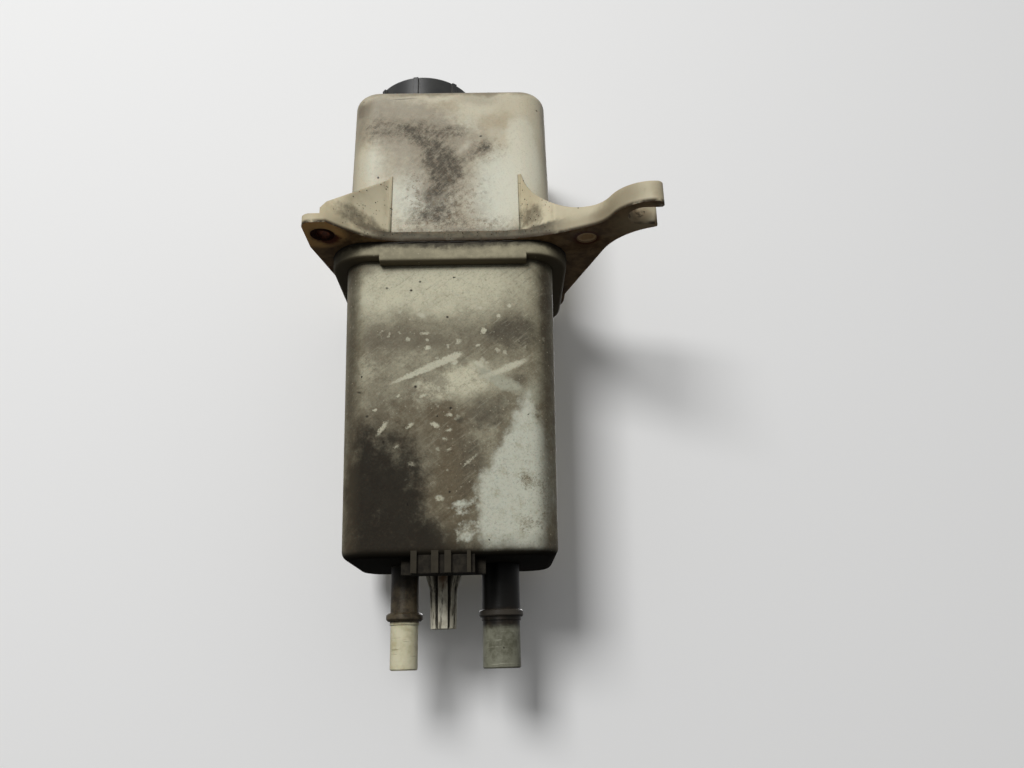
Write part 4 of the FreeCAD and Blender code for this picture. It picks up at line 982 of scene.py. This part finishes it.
lip_low, lip_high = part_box("weld_flange")
path = bmesh.new()
points = []
for corner_x, corner_y, start in ((1, 1, 0), (0, 1, 90), (0, 0, 180), (1, 0, 270)):
    middle_x = lip_high[0] - lip_corner_r if corner_x else lip_low[0] + lip_corner_r
    middle_y = lip_high[1] - lip_corner_r if corner_y else lip_low[1] + lip_corner_r
    for part in range(7):
        a = math.radians(start + 15 * part)
        x = middle_x + lip_corner_r * math.cos(a)
        y = middle_y + lip_corner_r * math.sin(a)
        points.append(path.verts.new((x, y, -flash_r)))
for a, b in zip(points, points[1:] + points[:1]):
    path.edges.new((a, b))
flash_path = bpy.data.meshes.new("flash_path")
path.to_mesh(flash_path)
path.free()

seam, given, result = new_tree("ragged_bead", Radius="Float", Finish="Material")
line = made(seam, "GeometryNodeMeshToCurve", {"Mesh": given.outputs["Geometry"]})
line = made(seam, "GeometryNodeResampleCurve", {"Curve": line, "Count": flash_steps})
wave = added(seam, "ShaderNodeTexNoise", {"Scale": flash_waves, "Detail": 3.0})
push = made(seam, "ShaderNodeVectorMath", {0: wave.outputs["Color"], 1: (0.5, 0.5, 0.5)}, operation="SUBTRACT")
push = made(seam, "ShaderNodeVectorMath", {0: push, "Scale": flash_push}, operation="SCALE")
line = made(seam, "GeometryNodeSetPosition", {"Geometry": line, "Offset": push})
thick = added(
    seam, "ShaderNodeMapRange",
    {"Value": wave.outputs["Fac"], "From Min": 0.3, "From Max": 0.7, "To Min": 0.35, "To Max": 1.3},
)
ring = made(seam, "GeometryNodeCurvePrimitiveCircle", {"Resolution": 7, "Radius": given.outputs["Radius"]})
bead = made(seam, "GeometryNodeCurveToMesh", {"Curve": line, "Profile Curve": ring, "Scale": thick.outputs[0]})
closed(seam, bead, given, result)

# The flash is made near black, as dirt and as painted shadow of the seam gap under the plate's edge.
flash_shadow_finish = two_tone(
    "flash_plastic_seam_shadow", 0.75, (34, 30, 23), (66, 59, 46), (0.5, 0.75, 0.3, 5.0, 0.7), (1.5, 4.0), 0.05, IOR=1.4,
)
weld_flash = grown("weld_flash", seam, {"Radius": flash_r, "Finish": flash_shadow_finish}, flash_path)
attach(weld_flash, "tank")

# Grit: dry crumbs of road dirt, stuck to the front of the collar and to the plate's top. It keeps away from the plate's
# outer ends and back, so that no crumb stands out past the tank.

left_end, right_end, back_end, top_end = 0.012, 0.092, 0.079, 0.0065
front_top = 0.006
crumbs_per_area = 260000.0
smallest, largest = 0.00007, 0.00022

grit, given, result = new_tree("stuck_grit", Amount="Float", Largest="Float", Finish="Material")
where = made(grit, "GeometryNodeInputPosition")
where = added(grit, "ShaderNodeSeparateXYZ", {"Vector": where})
facing = added(grit, "ShaderNodeSeparateXYZ", {"Vector": added(grit, "GeometryNodeInputNormal").outputs["Normal"]})
forward = maths(grit, "LESS_THAN", facing.outputs["Y"], -0.3)
top = maths(grit, "GREATER_THAN", facing.outputs["Z"], 0.7)
near = maths(grit, "GREATER_THAN", where.outputs["X"], left_end)
for letter, end in (("X", right_end), ("Y", back_end), ("Z", top_end)):
    near = maths(grit, "MULTIPLY", near, maths(grit, "LESS_THAN", where.outputs[letter], end))
front_band = maths(grit, "MULTIPLY", forward, maths(grit, "LESS_THAN", where.outputs["Z"], front_top))
spread = maths(grit, "MULTIPLY", maths(grit, "ADD", front_band, maths(grit, "MULTIPLY", top, 0.5)), near)
amount = maths(grit, "MULTIPLY", spread, given.outputs["Amount"])
scatter = added(
    grit, "GeometryNodeDistributePointsOnFaces", {"Mesh": given.outputs["Geometry"], "Density": amount, "Seed": 7},
)
crumb = made(grit, "GeometryNodeMeshIcoSphere", {"Radius": 1.0, "Subdivisions": 1})
size = added(grit, "FunctionNodeRandomValue", {"Seed": 3}, data_type="FLOAT")
biggest = maths(grit, "MULTIPLY", maths(grit, "POWER", size.outputs[1], 2.0), given.outputs["Largest"])
biggest = maths(grit, "ADD", biggest, smallest)
spin = made(grit, "FunctionNodeRandomValue", {"Seed": 5, "Max": (6.28, 6.28, 6.28)}, data_type="FLOAT_VECTOR")
stuck = added(
    grit, "GeometryNodeInstanceOnPoints",
    {"Points": scatter.outputs["Points"], "Instance": crumb, "Rotation": spin, "Scale": biggest},
)
closed(grit, stuck.outputs[0], given, result)

dirt_finish = two_tone(
    "dry_grit", 0.95, (58, 52, 42), (128, 120, 100), (0.5, 0.72, 0.9, 3.0), (6.0, 3.0), 0.02, IOR=1.4,
)
stuck_grit = grown(
    "stuck_grit", grit, {"Amount": crumbs_per_area, "Largest": largest, "Finish": dirt_finish}, plate_mesh.copy(),
)
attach(stuck_grit, "tank")
